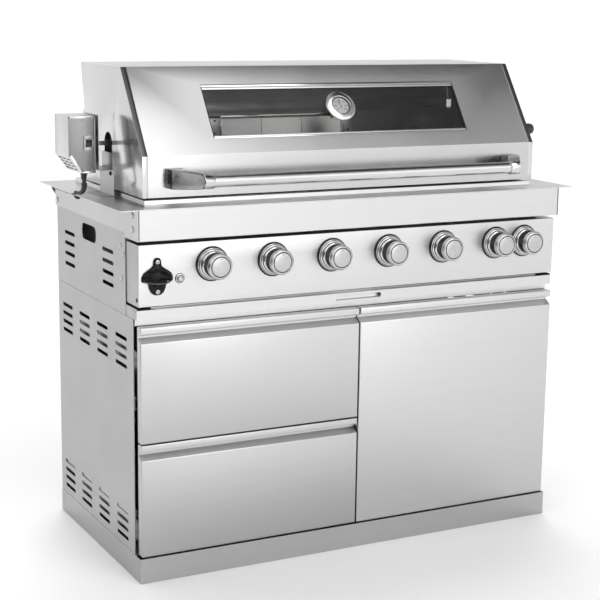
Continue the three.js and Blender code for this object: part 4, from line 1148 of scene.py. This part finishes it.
# ------ floor, lights and surroundings
def backdrop(name, corners, material):
    """A flat sheet of the studio, which isn't part of the grill."""
    sheet = bpy.data.meshes.new(name)
    sheet.from_pydata(corners, [], [(0, 1, 2, 3)])
    sheet.materials.append(material)
    stage = show(name, sheet)
    return stage


def light(name, kind, direction, place=(0, 0, 0), **settings):
    lamp = show(name, bpy.data.lights.new(name, kind))
    for key, value in settings.items():
        setattr(lamp.data, key, value)
    lamp.location = place
    lamp.rotation_euler = Vector(direction).to_track_quat("-Z", "Y").to_euler()
    return lamp


backdrop("floor", [(-30, -30, 0), (30, -30, 0), (30, 30, 0), (-30, 30, 0)], FLOOR_PAINT)
card = backdrop("black_card", [(-3, -3.2, 0.02), (-3, 1.4, 0.02), (-3, 1.4, 1.3), (-3, -3.2, 1.3)],
                moulded("card_black", 0.01, 0.8))
for ray in ("camera", "diffuse", "shadow", "transmission"):
    setattr(card, "visible_" + ray, False)

# The spot lights what is behind the window. Neither it nor the sun shows as a highlight in the metal.
spot_place, spot_aim = Vector((-0.9, -2.9, 1.87)), Vector((0, -0.16, 1.09))
spot = light("window_spot", "SPOT", spot_aim - spot_place, spot_place, energy=1050,
             spot_size=math.radians(13), spot_blend=1.0, shadow_soft_size=0.35)
sun = light("sun", "SUN", (-0.2, -0.5, -0.84), energy=1.2, angle=math.radians(40))
for lamp in (spot, sun):
    lamp.visible_glossy = False
softbox = light("low_softbox", "AREA", (-0.25, 1, 0), (0.75, -5, 1.0), energy=8.5, shape="RECTANGLE",
                size=1.4, size_y=1.2)
softbox.visible_camera = False


def surroundings():
    """A studio: pale walls, brighter panels in front and overhead, darker ones low left and high right."""
    world = bpy.data.worlds.new("studio")
    bpy.context.scene.world = world
    world.use_nodes = True
    sky = Graph(world.node_tree, "Generated")
    x, y, z = sky.add("ShaderNodeSeparateXYZ", {0: sky.place}).outputs

    def zone(*edges):
        """How far a direction is inside each of these soft edges, from 0 to 1."""
        weight = None
        for value, start, end in edges:
            step = sky.remap(value, 0.0, 1.0, (start, end))
            weight = step if weight is None else sky.times(weight, step)
        return weight

    front, back, low = (y, 0.0, -0.25), (y, 0.1, 0.4), (z, 0.5, 0.25)
    zones = [
        (zone((z, 0.28, 0.45), (z, 0.93, 0.8), (x, 0.46, 0.3)), 0.85),
        (zone((z, 0.5, 0.65), (z, 0.95, 0.88), (y, -0.2, -0.33), (x, 0.41, 0.36), (x, -0.15, 0.05)), 1.9),
        (zone((z, -0.02, 0.16), (z, 0.7, 0.56), (y, -0.5, -0.64), (x, 0.1, 0.3)), 0.8),
        (zone((z, 0.28, 0.45), (z, 0.7, 0.5), back, (x, 0.3, 0.46)), 0.5),
        (zone((z, 0.6, 0.8), (x, 0.2, 0.4), (y, -0.34, -0.24)), -0.36),
        (zone(low, front, (x, -0.5, -0.2)), 0.45),
        (zone(low, front, (x, -0.5, -0.2), (x, 0.46, 0.32)), 0.6),
        (zone((z, 0.35, 0.12), back), 0.6),
        (zone(low, front, (x, -0.2, -0.5)), -0.28),
    ]
    level = 0.42
    for weight, extra in zones:
        level = sky.plus(sky.times(weight, extra), level)
    sky.set(sky.tree.nodes["Background"].inputs["Strength"], level)
    sky.set(sky.tree.nodes["Background"].inputs["Color"], (1.0, 1.0, 1.0, 1))


surroundings()
bpy.context.scene.view_settings.view_transform = "Standard"
